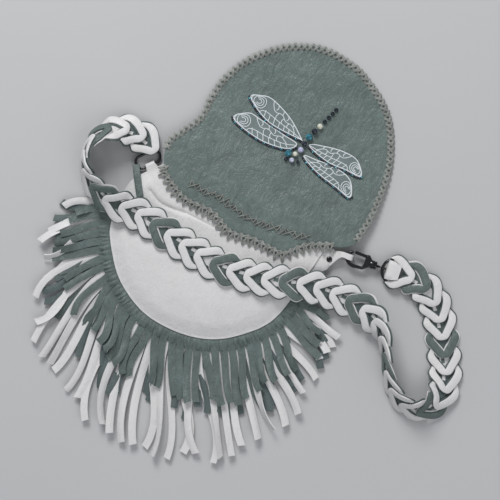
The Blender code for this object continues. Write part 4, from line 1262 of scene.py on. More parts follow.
@dataclass
class Flap:
    """The grey flap with its lobe, its lacing and the heights that the dragonfly rests on."""

    finishes: Finishes
    width: float = 0.190
    depth: float = 0.154
    lobe_depth: float = 0.028
    lobe_end: float = 0.0070
    drop_run: float = 0.075
    settle: float = 0.0012
    floor: float = 0.0001
    lacing_start: float = 0.014
    lobe_lacing_end: float = 0.0015
    hole_inset: float = 0.0042
    edge_row: LaceRow = LaceRow(0.0020, 0.0006, 0.0053, 5)
    lobe_row: LaceRow = LaceRow(0.0015, 0.0006, 0.0062, 8)
    fold_row: LaceRow = LaceRow(0.0010, 0.0005, 0.0072, 12)
    loop_reach: float = 0.0046
    flap_shape: Spots = (
        (0.965, 0.035), (1.045, 0.081), (1.066, 0.163), (1.082, 0.300), (1.029, 0.566),
        (0.812, 0.817), (0.476, 0.956), (0.249, 0.997), (-0.023, 1.000), (-0.286, 0.934),
        (-0.464, 0.847), (-0.607, 0.740), (-0.711, 0.599), (-0.743, 0.460), (-0.741, 0.351),
        (-0.834, 0.236), (-0.915, 0.145), (-0.890, 0.060), (-0.848, 0.000),
    )
    lobe_shape: Spots = (
        (-0.834, -0.175), (-0.565, -0.680), (-0.259, -0.700), (-0.049, -1.010),
        (0.180, -0.900), (0.395, -0.914), (0.512, -0.870), (0.643, -0.364), (0.824, -0.029),
    )
    row_shape: Spots = (
        (-0.556, -0.120), (-0.201, -0.150), (0.102, -0.300), (0.397, -0.200), (0.642, -0.040),
    )

    def outline(self, count: int) -> Points:
        """The whole leather, anticlockwise from the lobe's left end."""
        lobe = np.array(self.lobe_shape) * (self.width / 2, self.lobe_depth)
        flap = np.array(self.flap_shape) * (self.width / 2, self.depth)
        return curve_through(np.concatenate([lobe, flap]), count, closed=True)

    def level(self, points: Points, pouch: Pouch) -> Points:
        """Height of the underside: on the pouch, then down to the table."""
        lobe = pouch.mouth_level + LEATHER + GAP
        drop = lobe * (1 - (points[:, 1] - self.lobe_end) / self.drop_run)
        flat = self.floor + (drop + np.sqrt(drop * drop + self.settle**2)) / 2
        return np.minimum(flat, lobe)

    def slack_level(self, points: Points, pouch: Pouch) -> Points:
        """The same with soft dents, left out on the lobe."""
        soft = smooth_step((points[:, 1] - 0.012) / 0.02)
        dents = 0.00016 * (1 + ripple(points, 0.021, 17)) + 0.00014 * (1 + ripple(points, 0.048, 29))
        return self.level(points, pouch) + dents * soft

    def edge_between(self, level: float, above: bool, count: int) -> Points:
        """The part of the edge above or below a line of constant Y."""
        outline = self.outline(900)
        inside = outline[:, 1] > level if above else outline[:, 1] < level
        first = int(np.argmax(inside & ~np.roll(inside, 1)))
        return resample(np.roll(outline, -first, axis=0)[: int(inside.sum())], count)

    def build(self, pouch: Pouch) -> None:
        """Makes the hide, its two rows of edge lacing and the row along the fold."""
        outline = self.outline(240)
        centre = np.array((0.004, 0.060))
        shares = [1.0, 0.994, 0.985, 0.972] + list(np.linspace(0.955, 0.02, 62))
        hide = hide_of(outline, centre, shares, lambda plan: self.slack_level(plan, pouch), LEATHER, 0.0004)
        nodes = ["flap_panel", "flap_lobe"]
        item = hide.placed("flap_hide", [self.finishes.grey], None, Slot.GREY, nodes)
        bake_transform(item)
        self.lace_edge(pouch)
        self.lace_lobe(pouch)
        self.lace_row(pouch)

    def lace(
        self,
        pattern: Shape,
        ends: tuple[Points, Points],
        heights: Sequence[float],
        pouch: Pouch,
        draw: random.Random,
    ) -> Shape:
        """One lace from one plan place to another.

        Args:
            pattern: the flat strip that is laid.
            ends: its two plan places.
            heights: heights over the leather's underside, at equal steps along it.
            pouch: the pouch, for heights.
            draw: small differences of the hand.

        Returns:
            The lace.
        """
        start, end = ends
        jitter = np.array((draw.uniform(-1, 1), draw.uniform(-1, 1))) * 0.00022
        shares = np.linspace(0, 1, len(heights))[:, None]
        plan = start + (end + jitter - start) * shares
        line = np.column_stack([plan, self.level(plan, pouch) + np.array(heights)])
        line = curve_through(line, 12)
        ups = np.tile(UP, (len(line), 1))
        return along_line(pattern, line, ups, 0.0004, draw.uniform(0.9, 1.08))

    def lace_edge(self, pouch: Pouch) -> None:
        """Crossed laces over the flap's edge."""
        draw, pattern, edge, out = self.edge_row.start(self.edge_between(self.lacing_start, True, 600))
        inner, outer = edge - self.hole_inset * out, edge + 0.0014 * out
        top = LEATHER + self.edge_row.thickness
        shapes = []
        for index in range(len(edge) - 1):
            crosses = ((inner[index], outer[index + 1], 0.0), (inner[index + 1], outer[index], 0.0007))
            for start, end, bulge in crosses:
                heights = (LEATHER - 0.0003, top + bulge, top + 0.0002 + bulge, top, 0.0007)
                shapes.append(self.lace(pattern, (start, end), heights, pouch, draw))
            wrap = (edge[index] + 0.0002 * out[index], edge[index] + 0.0019 * out[index])
            shapes.append(self.lace(pattern, wrap, (top, top, 0.0009, 0.0006), pouch, draw))
        self.place_laces("flap_cross_lacing", shapes, Body.FLAP, "flap_edge_lacing")

    def place_laces(self, name: str, shapes: Sequence[Shape], body: Body, node: str) -> None:
        """Makes one row of lacing as a piece."""
        joined(shapes).placed(name, [self.finishes.sinew], body, Slot.SINEW, [node], 60)

    def lace_lobe(self, pouch: Pouch) -> None:
        """Crossed laces on the lobe's edge with small pointed loops over the back panel."""
        draw, pattern, edge, out = self.lobe_row.start(self.edge_between(self.lobe_lacing_end, False, 500))
        middle, away = (edge[:-1] + edge[1:]) / 2, (out[:-1] + out[1:]) / 2
        inner, rim = edge - self.hole_inset * out, edge - self.lobe_row.thickness * out
        top = LEATHER + self.lobe_row.thickness
        shapes = []
        for index in range(len(edge) - 1):
            reach = self.loop_reach + draw.uniform(-0.0009, 0.0009)
            tip = middle[index] + reach * away[index]
            for corner in (index, index + 1):
                heights = (LEATHER - 0.0002, top + 0.0001, top, 0.0010, 0.0005)
                shapes.append(self.lace(pattern, (inner[corner], tip), heights, pouch, draw))
            crosses = ((inner[index], rim[index + 1], 0.0005), (inner[index + 1], rim[index], 0.0009))
            for start, end, bulge in crosses:
                heights = (LEATHER, top + bulge, top + bulge, LEATHER)
                shapes.append(self.lace(pattern, (start, end), heights, pouch, draw))
        self.place_laces("lobe_loop_lacing", shapes, Body.BAG, "lobe_edge_lacing")

    def lace_row(self, pouch: Pouch) -> None:
        """Loose thin crosses along the fold."""
        rough = curve_through(np.array(self.row_shape) * (self.width / 2, self.lobe_depth), 200)
        draw, pattern, line, out = self.fold_row.start(rough)
        top = LEATHER + self.fold_row.thickness
        shapes = []
        for index in range(len(line) - 1):
            here, after = line[index], line[index + 1]
            near = 0.0034 + draw.uniform(-0.0012, 0.0012)
            far = 0.0032 + draw.uniform(-0.0012, 0.0012)
            slide = draw.uniform(-0.3, 0.3) * (after - here)
            pairs = (
                (here - near * out[index], after + far * out[index + 1] + slide, 0.0),
                (here + far * out[index] - slide, after - near * out[index + 1], 0.0005),
                (here - near * out[index] - slide, here + 0.6 * far * out[index] + 0.7 * slide, 0.0002),
            )
            for start, end, bulge in pairs:
                heights = (LEATHER, top + bulge, top + 0.0003 + bulge, top + bulge, LEATHER)
                shapes.append(self.lace(pattern, (start, end), heights, pouch, draw))
        self.place_laces("fold_row_lacing", shapes, Body.BAG, "mouth_lacing")


# The dragonfly


@dataclass
class Wing:
    """One wing: a ground with embroidered veins and small dark beads along its lower edge, made large and set out past
    it so that they also stand for the wing's shadow there.
    """

    name: str
    shape: Spots
    root_right: bool
    over: float = LEATHER + 0.00075
    ground_thickness: float = 0.0003
    rim_thread: float = 0.00050
    vein_thread: float = 0.00036
    # Painted shadow: the edge beads are sized and set out to fill a dark band under the lower edge that is partly the
    # wing's shadow.
    bead_size: float = 0.0020
    bead_pitch: float = 0.0015
    bead_offset: float = 0.0014

    def __post_init__(self) -> None:
        """Works out its two edges once."""
        self.low, self.high = self.chains()

    def chains(self) -> tuple[Points, Points]:
        """The lower and the upper edge, each from root to tip."""
        outline = curve_through(self.shape, 200, closed=True)
        order = np.argsort(outline[:, 0])
        root = int(order[-1] if self.root_right else order[0])
        tip = int(order[0] if self.root_right else order[-1])
        rolled = np.roll(outline, -root, axis=0)
        place = (tip - root) % len(outline)
        one = rolled[: place + 1]
        other = np.concatenate([rolled[place:], rolled[:1]])[::-1]
        one, other = resample(one, 80), resample(other, 80)
        return (one, other) if one[:, 1].mean() < other[:, 1].mean() else (other, one)

    def spot(self, along: float, across: float) -> Points:
        """A plan place on the wing from root to tip and from its lower to its upper edge."""
        steps = np.linspace(0, 1, len(self.low))
        place = np.array([along])
        low, high = (points_at(chain, steps, place)[0] for chain in (self.low, self.high))
        return (1 - across) * low + across * high

    def veins(self) -> list[Points]:
        """Plan lines of the embroidered veins."""
        routes = [
            [(0.02, 0.4), (0.2, 0.36), (0.45, 0.34), (0.66, 0.30), (0.74, 0.12), (0.75, 0.0)],
            [(0.16, 0.40), (0.26, 0.78), (0.36, 0.60), (0.46, 0.78), (0.56, 0.62), (0.64, 0.86), (0.66, 1.0)],
        ]
        for start in np.arange(0.14, 0.72, 0.085):
            routes.append([(start, 0.0), (start + 0.012, 0.17), (start + 0.03, 0.34)])
        for start in (0.30, 0.40, 0.50):
            routes.append([(start, 0.36), (start + 0.015, 0.5), (start + 0.005, 0.68)])
        for start in (0.24, 0.36, 0.46, 0.56):
            routes.append([(start, 0.72), (start - 0.01, 0.86), (start + 0.01, 1.0)])
        turns = np.radians(range(60, 301, 24))
        for size in (1.0, 0.68, 0.38):
            routes.append([
                (0.84 + 0.115 * size * math.cos(turn), 0.5 + 0.42 * size * math.sin(turn)) for turn in turns
            ])
        for reach in (0.90, 0.945):
            routes.append([(reach, 0.05), (reach + 0.018, 0.35), (reach + 0.018, 0.65), (reach, 0.95)])
        return [self.low, self.high] + [self.line(route) for route in routes]

    def line(self, spots: Sequence[tuple[float, float]]) -> Points:
        """A smooth plan line through places on the wing."""
        return curve_through([self.spot(*spot) for spot in spots], 14)

    def build(self, flap: Flap, pouch: Pouch, bead: Shape) -> None:
        """Makes the wing."""

        def height(plan: Points, up: float) -> Points:
            """Places on the flap's leather."""
            return np.column_stack([plan, flap.slack_level(plan, pouch) + self.over + up])

        def sized(points: Points, place: Points) -> Points:
            """An edge bead's points at its place."""
            return points * self.bead_size + place

        shares = np.linspace(0, 1, 9)
        ground = np.concatenate([(1 - share) * self.low + share * self.high for share in shares])
        sheet = Shape(height(ground, -self.ground_thickness), grid_faces(len(shares), len(self.low)))
        shapes = [thickened(sheet, self.ground_thickness)]
        for order, line in enumerate(self.veins()):
            radius = self.rim_thread if order < 2 else self.vein_thread
            shapes.append(tube(height(line, 0.0001), radius, 6, UP).moved(np.copy, 1))
        edge = resample(self.low, int(lengths_along(self.low)[-1] / self.bead_pitch))
        out = outward_of(edge)
        outside = -1.0 if np.mean(out[:, 1]) > 0 else 1.0
        for index in range(1, len(edge)):
            place = height((edge[index] + outside * out[index] * self.bead_offset)[None], 0.0)[0]
            shapes.append(bead.moved(partial(sized, place=place), 2 + index % 5 // 4))
        kit = flap.finishes
        materials = [kit.wing, kit.thread, kit.dark, kit.teal]
        joined(shapes).placed("dragonfly_" + self.name, materials, Body.FLAP, Slot.WING, [self.name], 50)


@dataclass
class Dragonfly:
    """Four wings and the bead body, whose beads are given as name, place and diameter."""

    finishes: Finishes
    wings: dict[str, Spots] = field(default_factory=lambda: {
        "wing_upper_left": (
            (-0.0387, 0.0874), (-0.0311, 0.0930), (-0.0206, 0.0942), (0.0000, 0.0862),
            (0.0163, 0.0745), (0.0150, 0.0735), (-0.0157, 0.0752),
        ),
        "wing_lower_left": (
            (-0.0443, 0.0645), (-0.0345, 0.0744), (-0.0229, 0.0738), (0.0010, 0.0706),
            (0.0152, 0.0682), (0.0076, 0.0605), (-0.0168, 0.0578),
        ),
        "wing_upper_right": (
            (0.0255, 0.0722), (0.0390, 0.0774), (0.0562, 0.0803), (0.0693, 0.0783),
            (0.0778, 0.0675), (0.0632, 0.0668), (0.0452, 0.0664),
        ),
        "wing_lower_right": (
            (0.0250, 0.0618), (0.0368, 0.0633), (0.0545, 0.0646), (0.0706, 0.0602),
            (0.0772, 0.0467), (0.0618, 0.0496), (0.0408, 0.0542),
        ),
    })
    beads: tuple[tuple[str, float, float, float], ...] = (
        ("bead_head_teal", 0.0118, 0.0577, 0.0062), ("bead_eye_pale", 0.0176, 0.0598, 0.0048),
        ("bead_eye_bright", 0.0172, 0.0537, 0.0048), ("bead_cheek_dark", 0.0121, 0.0523, 0.0034),
        ("bead_cheek_small", 0.0228, 0.0546, 0.0034), ("bead_thorax_crystal", 0.0204, 0.0652, 0.0056),
        ("bead_thorax_pearl", 0.0209, 0.0714, 0.0052), ("bead_body_teal", 0.0221, 0.0785, 0.0066),
        ("bead_body_pearl", 0.0243, 0.0852, 0.0056), ("bead_body_pale", 0.0266, 0.0911, 0.0054),
        ("bead_tail_1", 0.0286, 0.0967, 0.0040), ("bead_tail_2", 0.0303, 0.1015, 0.0040),
        ("bead_tail_3", 0.0318, 0.1059, 0.0038), ("bead_tail_4", 0.0331, 0.1104, 0.0038),
    )

    def cut_bead(self) -> Shape:
        """A faceted bead of diameter one, modelled once."""
        clear_selection()
        bpy.ops.mesh.primitive_uv_sphere_add(segments=9, ring_count=6, radius=0.5)
        with editing():
            bpy.ops.mesh.bevel(offset=0.035, segments=1, affect="EDGES")
        return taken(bpy.context.active_object)

    def seed_bead(self) -> Shape:
        """A small ring bead of diameter one that lies flat."""
        clear_selection()
        bpy.ops.mesh.primitive_torus_add(
            major_segments=20, minor_segments=10, major_radius=0.37, minor_radius=0.13,
        )
        with editing():
            bpy.ops.transform.resize(value=(1.0, 1.0, 1.5))
        return taken(bpy.context.active_object)

    def edge_bead(self) -> Shape:
        """A tiny round bead of diameter one with few faces."""
        clear_selection()
        bpy.ops.mesh.primitive_ico_sphere_add(subdivisions=2, radius=0.5)
        return taken(bpy.context.active_object)

    def tone_of(self, name: str) -> tuple[bpy.types.Material, Slot]:
        """The glass and slot of a bead."""
        kit = self.finishes
        tones = {
            "teal": (kit.teal, Slot.TEAL),
            "pale": (kit.pale, Slot.PALE),
            "bright": (kit.crystal, Slot.PALE),
            "crystal": (kit.crystal, Slot.PALE),
        }
        return tones.get(name.rsplit("_", 1)[-1], (kit.dark, Slot.DARK))

    def build(self, flap: Flap, pouch: Pouch) -> None:
        """Makes wings and beads."""
        edge_bead = self.edge_bead()
        for name, shape in self.wings.items():
            Wing(name, shape, name.endswith("left")).build(flap, pouch, edge_bead)
        cut, seed = self.cut_bead(), self.seed_bead()
        for order, (name, x, y, size) in enumerate(self.beads):
            is_seed = "tail" in name
            plan = np.array([(x, y)])
            lift = LEATHER + GAP + (size * 0.25 if is_seed else size / 2) + 0.0003
            place = np.array((x, y, float(flap.level(plan, pouch)[0]) + lift))
            turn = 0.0 if is_seed else 0.7 * order
            source = seed if is_seed else cut
            bead = source.moved(partial(self.set_down, turn=turn, size=size, place=place))
            material, slot = self.tone_of(name)
            bead.placed("glass_" + name, [material], Body.FLAP, slot, [name], flat=not is_seed)

    @staticmethod
    def set_down(points: Points, turn: float, size: float, place: Points) -> Points:
        """A bead's points, turned about Z, sized and moved to its place."""
        across, along = math.cos(turn), math.sin(turn)
        spin = np.array(((across, -along, 0), (along, across, 0), (0, 0, 1)))
        return points @ spin.T * size + place


# Fittings


@dataclass
class Fittings:
    """The swivel clasp, the rings, the tabs with their rivet and the corner lace."""

    finishes: Finishes
    rod: float = 0.0012
    axis_z: float = 0.0058
    barrel_place: tuple[float, float] = (1.399, 0.026)
    angle: float = math.radians(8)
    thickness: float = 0.0050
    half_width: float = 0.0074
    length: float = 0.0280
    hook_rod: float = 0.0028
    bend_share: float = 0.70
    nose: float = 62.0
    gate_pivot: tuple[float, float] = (0.0094, 0.0049)
    ear: float = 0.0020
    barrel_radius: float = 0.0032
    barrel_length: float = 0.0052
    eye_radius: float = 0.0033
    eye_rod: float = 0.0010
    gate_thickness: float = 0.0024
    gate_width: float = 0.0028
    pin_radius: float = 0.0007
    d_width: float = 0.0210
    d_depth: float = 0.0092
    ring_length: float = 0.0250
    ring_width: float = 0.0135
    ring_z: float = 0.0029
    ring_centre: tuple[float, float] = (-1.079, -0.004)
    ring_angle: float = math.radians(51)
    tab_neck: float = 0.0052
    tab_base: float = 0.0245
    rivet_share: float = 0.42

    def place(self, along: float, across: float, up: float) -> Points:
        """A place on the clasp: from its barrel towards the hook's tip, across and up."""
        barrel = np.array((self.barrel_place[0] * BODY_WIDTH / 2, self.barrel_place[1] * BODY_DEPTH))
        axis = -np.array((math.cos(self.angle), math.sin(self.angle)))
        spot = barrel + along * axis + across * np.array((axis[1], -axis[0]))
        return np.array((spot[0], spot[1], self.axis_z + up))

    def on_clasp(self, shape: Shape) -> Shape:
        """A shape whose points are read as places on the clasp."""
        return shape.moved(lambda points: np.array([self.place(*point) for point in points]))

    @property
    def eye_centre(self) -> float:
        """Where the swivel eye's middle lies."""
        return -(self.eye_radius + self.eye_rod + GAP)

    @property
    def bow(self) -> float:
        """Where the D-ring's bow hangs."""
        return self.eye_centre - (self.eye_radius - self.eye_rod - self.rod - GAP)

    @property
    def bar(self) -> float:
        """Where the D-ring's straight bar lies."""
        return self.bow - (self.d_depth - 2 * self.rod)

    def ring_spot(self, along: float, across: float, up: float) -> Points:
        """A place on the left ring."""
        centre = np.array((self.ring_centre[0] * BODY_WIDTH / 2, self.ring_centre[1] * BODY_DEPTH))
        axis = np.array((math.cos(self.ring_angle), math.sin(self.ring_angle)))
        spot = centre + along * axis + across * np.array((-axis[1], axis[0]))
        return np.array((spot[0], spot[1], self.ring_z + up))

    def hook_outline(self) -> Points:
        """The hook seen flat, with round bends."""
        root, bend = self.barrel_length - 2 * GAP, self.length * self.bend_share
        outer = (self.length - bend, self.half_width)
        inner = (outer[0] - self.hook_rod, outer[1] - self.hook_rod)
        outer = (outer[0] + 0.0004, outer[1] + 0.0004)
        turns = np.radians(np.linspace(-90, self.nose, 18))
        outside = [(bend + outer[0] * math.cos(a), outer[1] * math.sin(a)) for a in turns]
        inside = [(bend + inner[0] * math.cos(a), inner[1] * math.sin(a)) for a in turns[::-1]]
        near, far = self.gate_pivot[0] - self.ear, self.gate_pivot[0] + self.ear
        top = self.gate_pivot[1] + self.ear
        wide = self.half_width
        lead = [(root, -self.barrel_radius * 0.85), (near, -wide * 0.55), (far, -wide * 0.97)]
        back = [(far + self.hook_rod * 0.4, -inner[1]), (far, -wide * 0.2), (far, top - 0.001), (far - 0.001, top),
                (near + 0.001, top), (near, top - 0.001), (root, self.barrel_radius * 0.85)]
        return np.array(lead + outside + inside + back)

    def build_clasp(self) -> None:
        """Makes hook, barrel, gate, pin, swivel eye and D-ring."""
        nickel = [self.finishes.nickel]
        half = self.thickness / 2
        slot = self.gate_thickness / 2 + GAP
        hook = plate_of(self.hook_outline(), -half, half, 0.0011)
        turns = np.linspace(0, 2 * math.pi, 33)[:-1]
        barrel = self.turned((
            (GAP, 0.0019), (GAP, 0.0031), (GAP + 0.0005, 0.0036), (0.0016, 0.0037), (0.0019, 0.0033),
            (0.0023, 0.0033), (0.0026, 0.0037), (0.0050, 0.0038), (0.0064, 0.0032), (0.0070, 0.0020),
        ))
        body = cut_away(hook, self.slot_cutter(slot))
        self.on_clasp(joined([body, barrel])).placed("clasp_body", nickel, Body.CLASP, Slot.NICKEL, ["clasp_hook"], 35)
        gate = plate_of(self.gate_outline(), -self.gate_thickness / 2, self.gate_thickness / 2, 0.0006)
        self.on_clasp(gate).placed("clasp_sprung_gate", nickel, Body.GATE, Slot.NICKEL, ["clasp_gate"], 35)
        head = self.pin_radius * 1.4
        rim = [(self.gate_pivot[0] + head * math.cos(a), self.gate_pivot[1] + head * math.sin(a)) for a in turns]
        pin = plate_of(np.array(rim), -half - 0.0002, half + 0.0002, 0.0002)
        self.on_clasp(pin).placed("clasp_pin", nickel, Body.CLASP, Slot.NICKEL, ["clasp_gate_pin"], 35)
        x, radius = self.eye_centre, self.eye_radius
        ring = np.array([(x + radius * math.cos(a), 0, radius * math.sin(a)) for a in turns])
        eye = tube(ring, self.eye_rod, 12, np.array((0, 1.0, 0)), closed=True)
        stem = tube(np.array([(x + radius, 0, 0), (0.002, 0, 0), (0.004, 0, 0)]), 0.0013, 14, UP)
        self.on_clasp(joined([eye, stem])).placed("swivel_eye", nickel, Body.BAG, Slot.NICKEL, ["clasp_swivel_eye"], 60)
        self.on_clasp(self.d_ring()).placed("d_ring", nickel, Body.BAG, Slot.NICKEL, ["d_ring_right"], 60)

    def turned(self, profile: Sequence[tuple[float, float]]) -> Shape:
        """A turned shape about the clasp's axis, its profile given as place and radius."""
        sides = 28
        turns = 2 * math.pi * np.arange(sides) / sides
        points = [(place, radius * math.cos(a), radius * math.sin(a)) for place, radius in profile for a in turns]
        return Shape(np.array(points), ring_faces(len(profile), sides))

    def slot_cutter(self, half: float) -> Shape:
        """The room in which the gate turns."""
        low, high = self.gate_pivot[1] - self.ear - 2 * GAP, self.gate_pivot[1] + 2 * self.ear
        x = self.gate_pivot[0]
        corners = [(x - 2 * self.ear, low), (x + 2 * self.ear, low), (x + 2 * self.ear, high), (x - 2 * self.ear, high)]
        return plate_of(np.array(corners), -half, half, 0.0001, 1)

    def gate_outline(self) -> Points:
        """The sprung gate: round about its pin and straight to the nose."""
        bend = self.length * self.bend_share
        tip = bend + (self.length - bend - self.hook_rod) * math.cos(math.radians(self.nose)) - 2 * GAP
        outer = self.half_width - GAP
        radius = self.ear - 2 * GAP
        turns = np.radians(np.linspace(100, 270, 12))
        x, y = self.gate_pivot
        ends = [(tip, outer - self.gate_width), (tip, outer)]
        return np.array(ends + [(x + radius * math.cos(a), y + radius * math.sin(a)) for a in turns])

    def d_ring(self) -> Shape:
        """The D-ring's rod."""
        half, depth = self.d_width / 2 - self.rod, self.d_depth - 2 * self.rod
        bow = [(self.bar + depth * math.sin(a), -half * math.cos(a), 0) for a in np.radians(range(0, 181, 10))]
        straight = [(self.bar, half * share, 0) for share in (0.9, 0.6, 0.3, 0.0, -0.3, -0.6, -0.9)]
        return tube(np.array(bow + straight), self.rod * 1.18, 14, UP, closed=True)

    def build_left_ring(self) -> None:
        """Makes the oblong ring at the left."""
        half, bend = self.ring_length / 2 - self.rod, self.ring_width / 2 - self.rod
        turns = np.radians(np.linspace(-90, 90, 15))
        right = [(half - bend + bend * math.cos(a), bend * math.sin(a), 0) for a in turns]
        ring = tube(np.array(right + [(-x, -y, 0) for x, y, _ in right]), self.rod, 14, UP, closed=True)
        ring = ring.moved(lambda points: np.array([self.ring_spot(*point) for point in points]))
        ring.placed("left_ring", [self.finishes.nickel], Body.BAG, Slot.NICKEL, ["strap_ring_left"], 60)

    def tab_edge(self, pouch: Pouch) -> Points:
        """Where the right tab leaves the seam."""
        seam = pouch.seam(37)
        half = seam[len(seam) // 2 :]
        y = -BODY_DEPTH * 0.13
        return np.array((float(np.interp(y, half[:, 1], half[:, 0])) + GAP, y))

    def rivet_place(self, pouch: Pouch) -> Points:
        """The rivet's middle."""
        edge = self.tab_edge(pouch)
        return edge + self.rivet_share * (self.place(self.length, 0, 0)[:2] - edge)

    def build_right_tab(self, pouch: Pouch) -> None:
        """Makes the tab from the seam through the hook and back, and its rivet."""
        reach = self.thickness / 2 + 0.0011 + LEATHER / 2
        tip, fold = self.length - self.hook_rod / 2, self.length - self.hook_rod - 0.0022 - LEATHER / 2
        level = pouch.seam_level - GAP - LEATHER / 2
        edge, rivet = self.tab_edge(pouch), self.rivet_place(pouch)
        under = self.place(tip, 0, -reach)[2]
        bent = fold + reach * 0.2
        upper = [(tip + 2 * self.hook_rod, reach * 0.9), (tip, reach), (bent, reach * 0.8), (fold, 0.0)]
        lower = [(bent, -reach * 0.8), (tip, -reach), (tip + 2 * self.hook_rod, -reach)]
        loop = [self.place(along, 0, up) for along, up in upper + lower]
        beyond = rivet + 0.30 * (loop[0][:2] - rivet)
        tail = rivet - 0.12 * (beyond - edge)
        route = [(edge[0] - 0.006, edge[1], level), (*edge, level)]
        route += [(*rivet, level + 0.0001), (*beyond, level + 0.0002)]
        route += [tuple(spot) for spot in loop] + [(*beyond, under), (*rivet, under), (*tail, under)]
        neck = self.tab_neck / 2
        widths = [0.5 * self.tab_base, 0.5 * self.tab_base, 0.40 * self.tab_base, 0.28 * self.tab_base]
        widths += [neck] * len(loop) + [neck * 1.3, neck * 1.5, neck * 1.5]
        line = curve_through(np.column_stack([np.array(route), widths]), 90)
        side = self.place(0, 1, 0) - self.place(0, 0, 0)
        tab = self.ribbon(line[:, :3], line[:, 3], side)
        tab.placed("right_tab", [self.finishes.white], Body.BAG, Slot.WHITE, ["tab_right"], 60)
        low, high = under - LEATHER / 2 - GAP, level + LEATHER / 2 + GAP
        lying = self.turned((
            (low - 0.0004, 0.0022), (low, 0.0026), (low, 0.0014), (high, 0.0014), (high, 0.0026),
            (high + 0.0004, 0.0025), (high + 0.0008, 0.0020), (high + 0.0009, 0.0010), (high + 0.0005, 0.0008),
        ))
        standing = lying.moved(lambda points: points[:, [1, 2, 0]] + np.array((*rivet, 0.0)))
        standing.placed("tab_rivet", [self.finishes.nickel], Body.BAG, Slot.NICKEL, ["tab_rivet_right"], 35)

    def ribbon(self, line: Points, halves: Points, side: Points, thickness: float = LEATHER) -> Shape:
        """A leather ribbon along a line with one width direction, its edges rounded.

        Args:
            line: its middle line.
            halves: half of its width at each place.
            side: the direction across it.
            thickness: the leather's thickness.

        Returns:
            The ribbon.
        """
        tangents = directions_along(line)
        side = side / np.linalg.norm(side)
        points, pattern = [], []
        along = lengths_along(line)
        rim = (
            (-1.0, -0.28), (-0.97, -0.5), (0.97, -0.5), (1.0, -0.28), (1.0, 0.28), (0.97, 0.5),
            (0.5, 0.54), (0.0, 0.55), (-0.5, 0.54), (-0.97, 0.5), (-1.0, 0.28),
        )
        for centre, tangent, half, run in zip(line, tangents, halves, along):
            normal = np.cross(side, tangent)
            normal /= np.linalg.norm(normal)
            for across, up in rim:
                points.append(centre + across * half * side + up * thickness * normal)
                pattern.append((run, across * half))
        return Shape(np.array(points), ring_faces(len(line), len(rim)), np.array(pattern))

    def build_left_tab(self, pouch: Pouch) -> None:
        """Makes the left tab over the ring's near side and back under it."""
        bend = self.ring_width / 2 - self.rod
        reach = self.rod + GAP + LEATHER / 2
        near, level = -bend, pouch.seam_level - GAP - LEATHER / 2 - self.ring_z
        route = [self.ring_spot(0, near - reach - 0.0096, level), self.ring_spot(0, near - reach * 1.5, level)]
        for turn in np.radians((0, 45, 90, 135, 180)):
            route.append(self.ring_spot(0, near + reach * math.sin(turn), reach * math.cos(turn)))
        route.append(self.ring_spot(0, near - reach, -reach))
        widths = [self.tab_neck] * 2 + [self.tab_neck * 0.8] * (len(route) - 2)
        line = curve_through(np.column_stack([np.array(route), widths]), 50)
        tab = self.ribbon(line[:, :3], line[:, 3], self.ring_spot(1, 0, 0) - self.ring_spot(0, 0, 0))
        tab.placed("left_tab", [self.finishes.white], Body.BAG, Slot.WHITE, ["tab_left"], 60)

    def build_corner_lace(self, pouch: Pouch) -> None:
        """Makes the grey lace at the left corner, from under the strap up to the ring."""
        places = np.array(((-0.985, -0.262), (-1.045, -0.200), (-1.110, -0.130))) * POUCH_SCALE
        heights = pouch.back_level(places) + LEATHER + 2 * GAP + FRINGE_LEATHER / 2
        end = self.ring_spot(-self.ring_length / 2 + self.rod, 0, self.rod + GAP + FRINGE_LEATHER / 2)
        line = curve_through(list(np.column_stack([places, heights])) + [end], 30)
        pattern = strip_pattern(0.0062, FRINGE_LEATHER, 24, 3, 0.0002)
        lace = along_line(pattern, line, np.tile(UP, (30, 1)), 0.0003)
        lace.placed("left_corner_lace", [self.finishes.fringe_grey], Body.BAG, Slot.GREY, ["corner_lace"], 50)

    def build(self, pouch: Pouch) -> None:
        """Makes all fittings."""
        self.build_clasp()
        self.build_left_ring()
        self.build_right_tab(pouch)
        self.build_left_tab(pouch)
        self.build_corner_lace(pouch)


# The strap


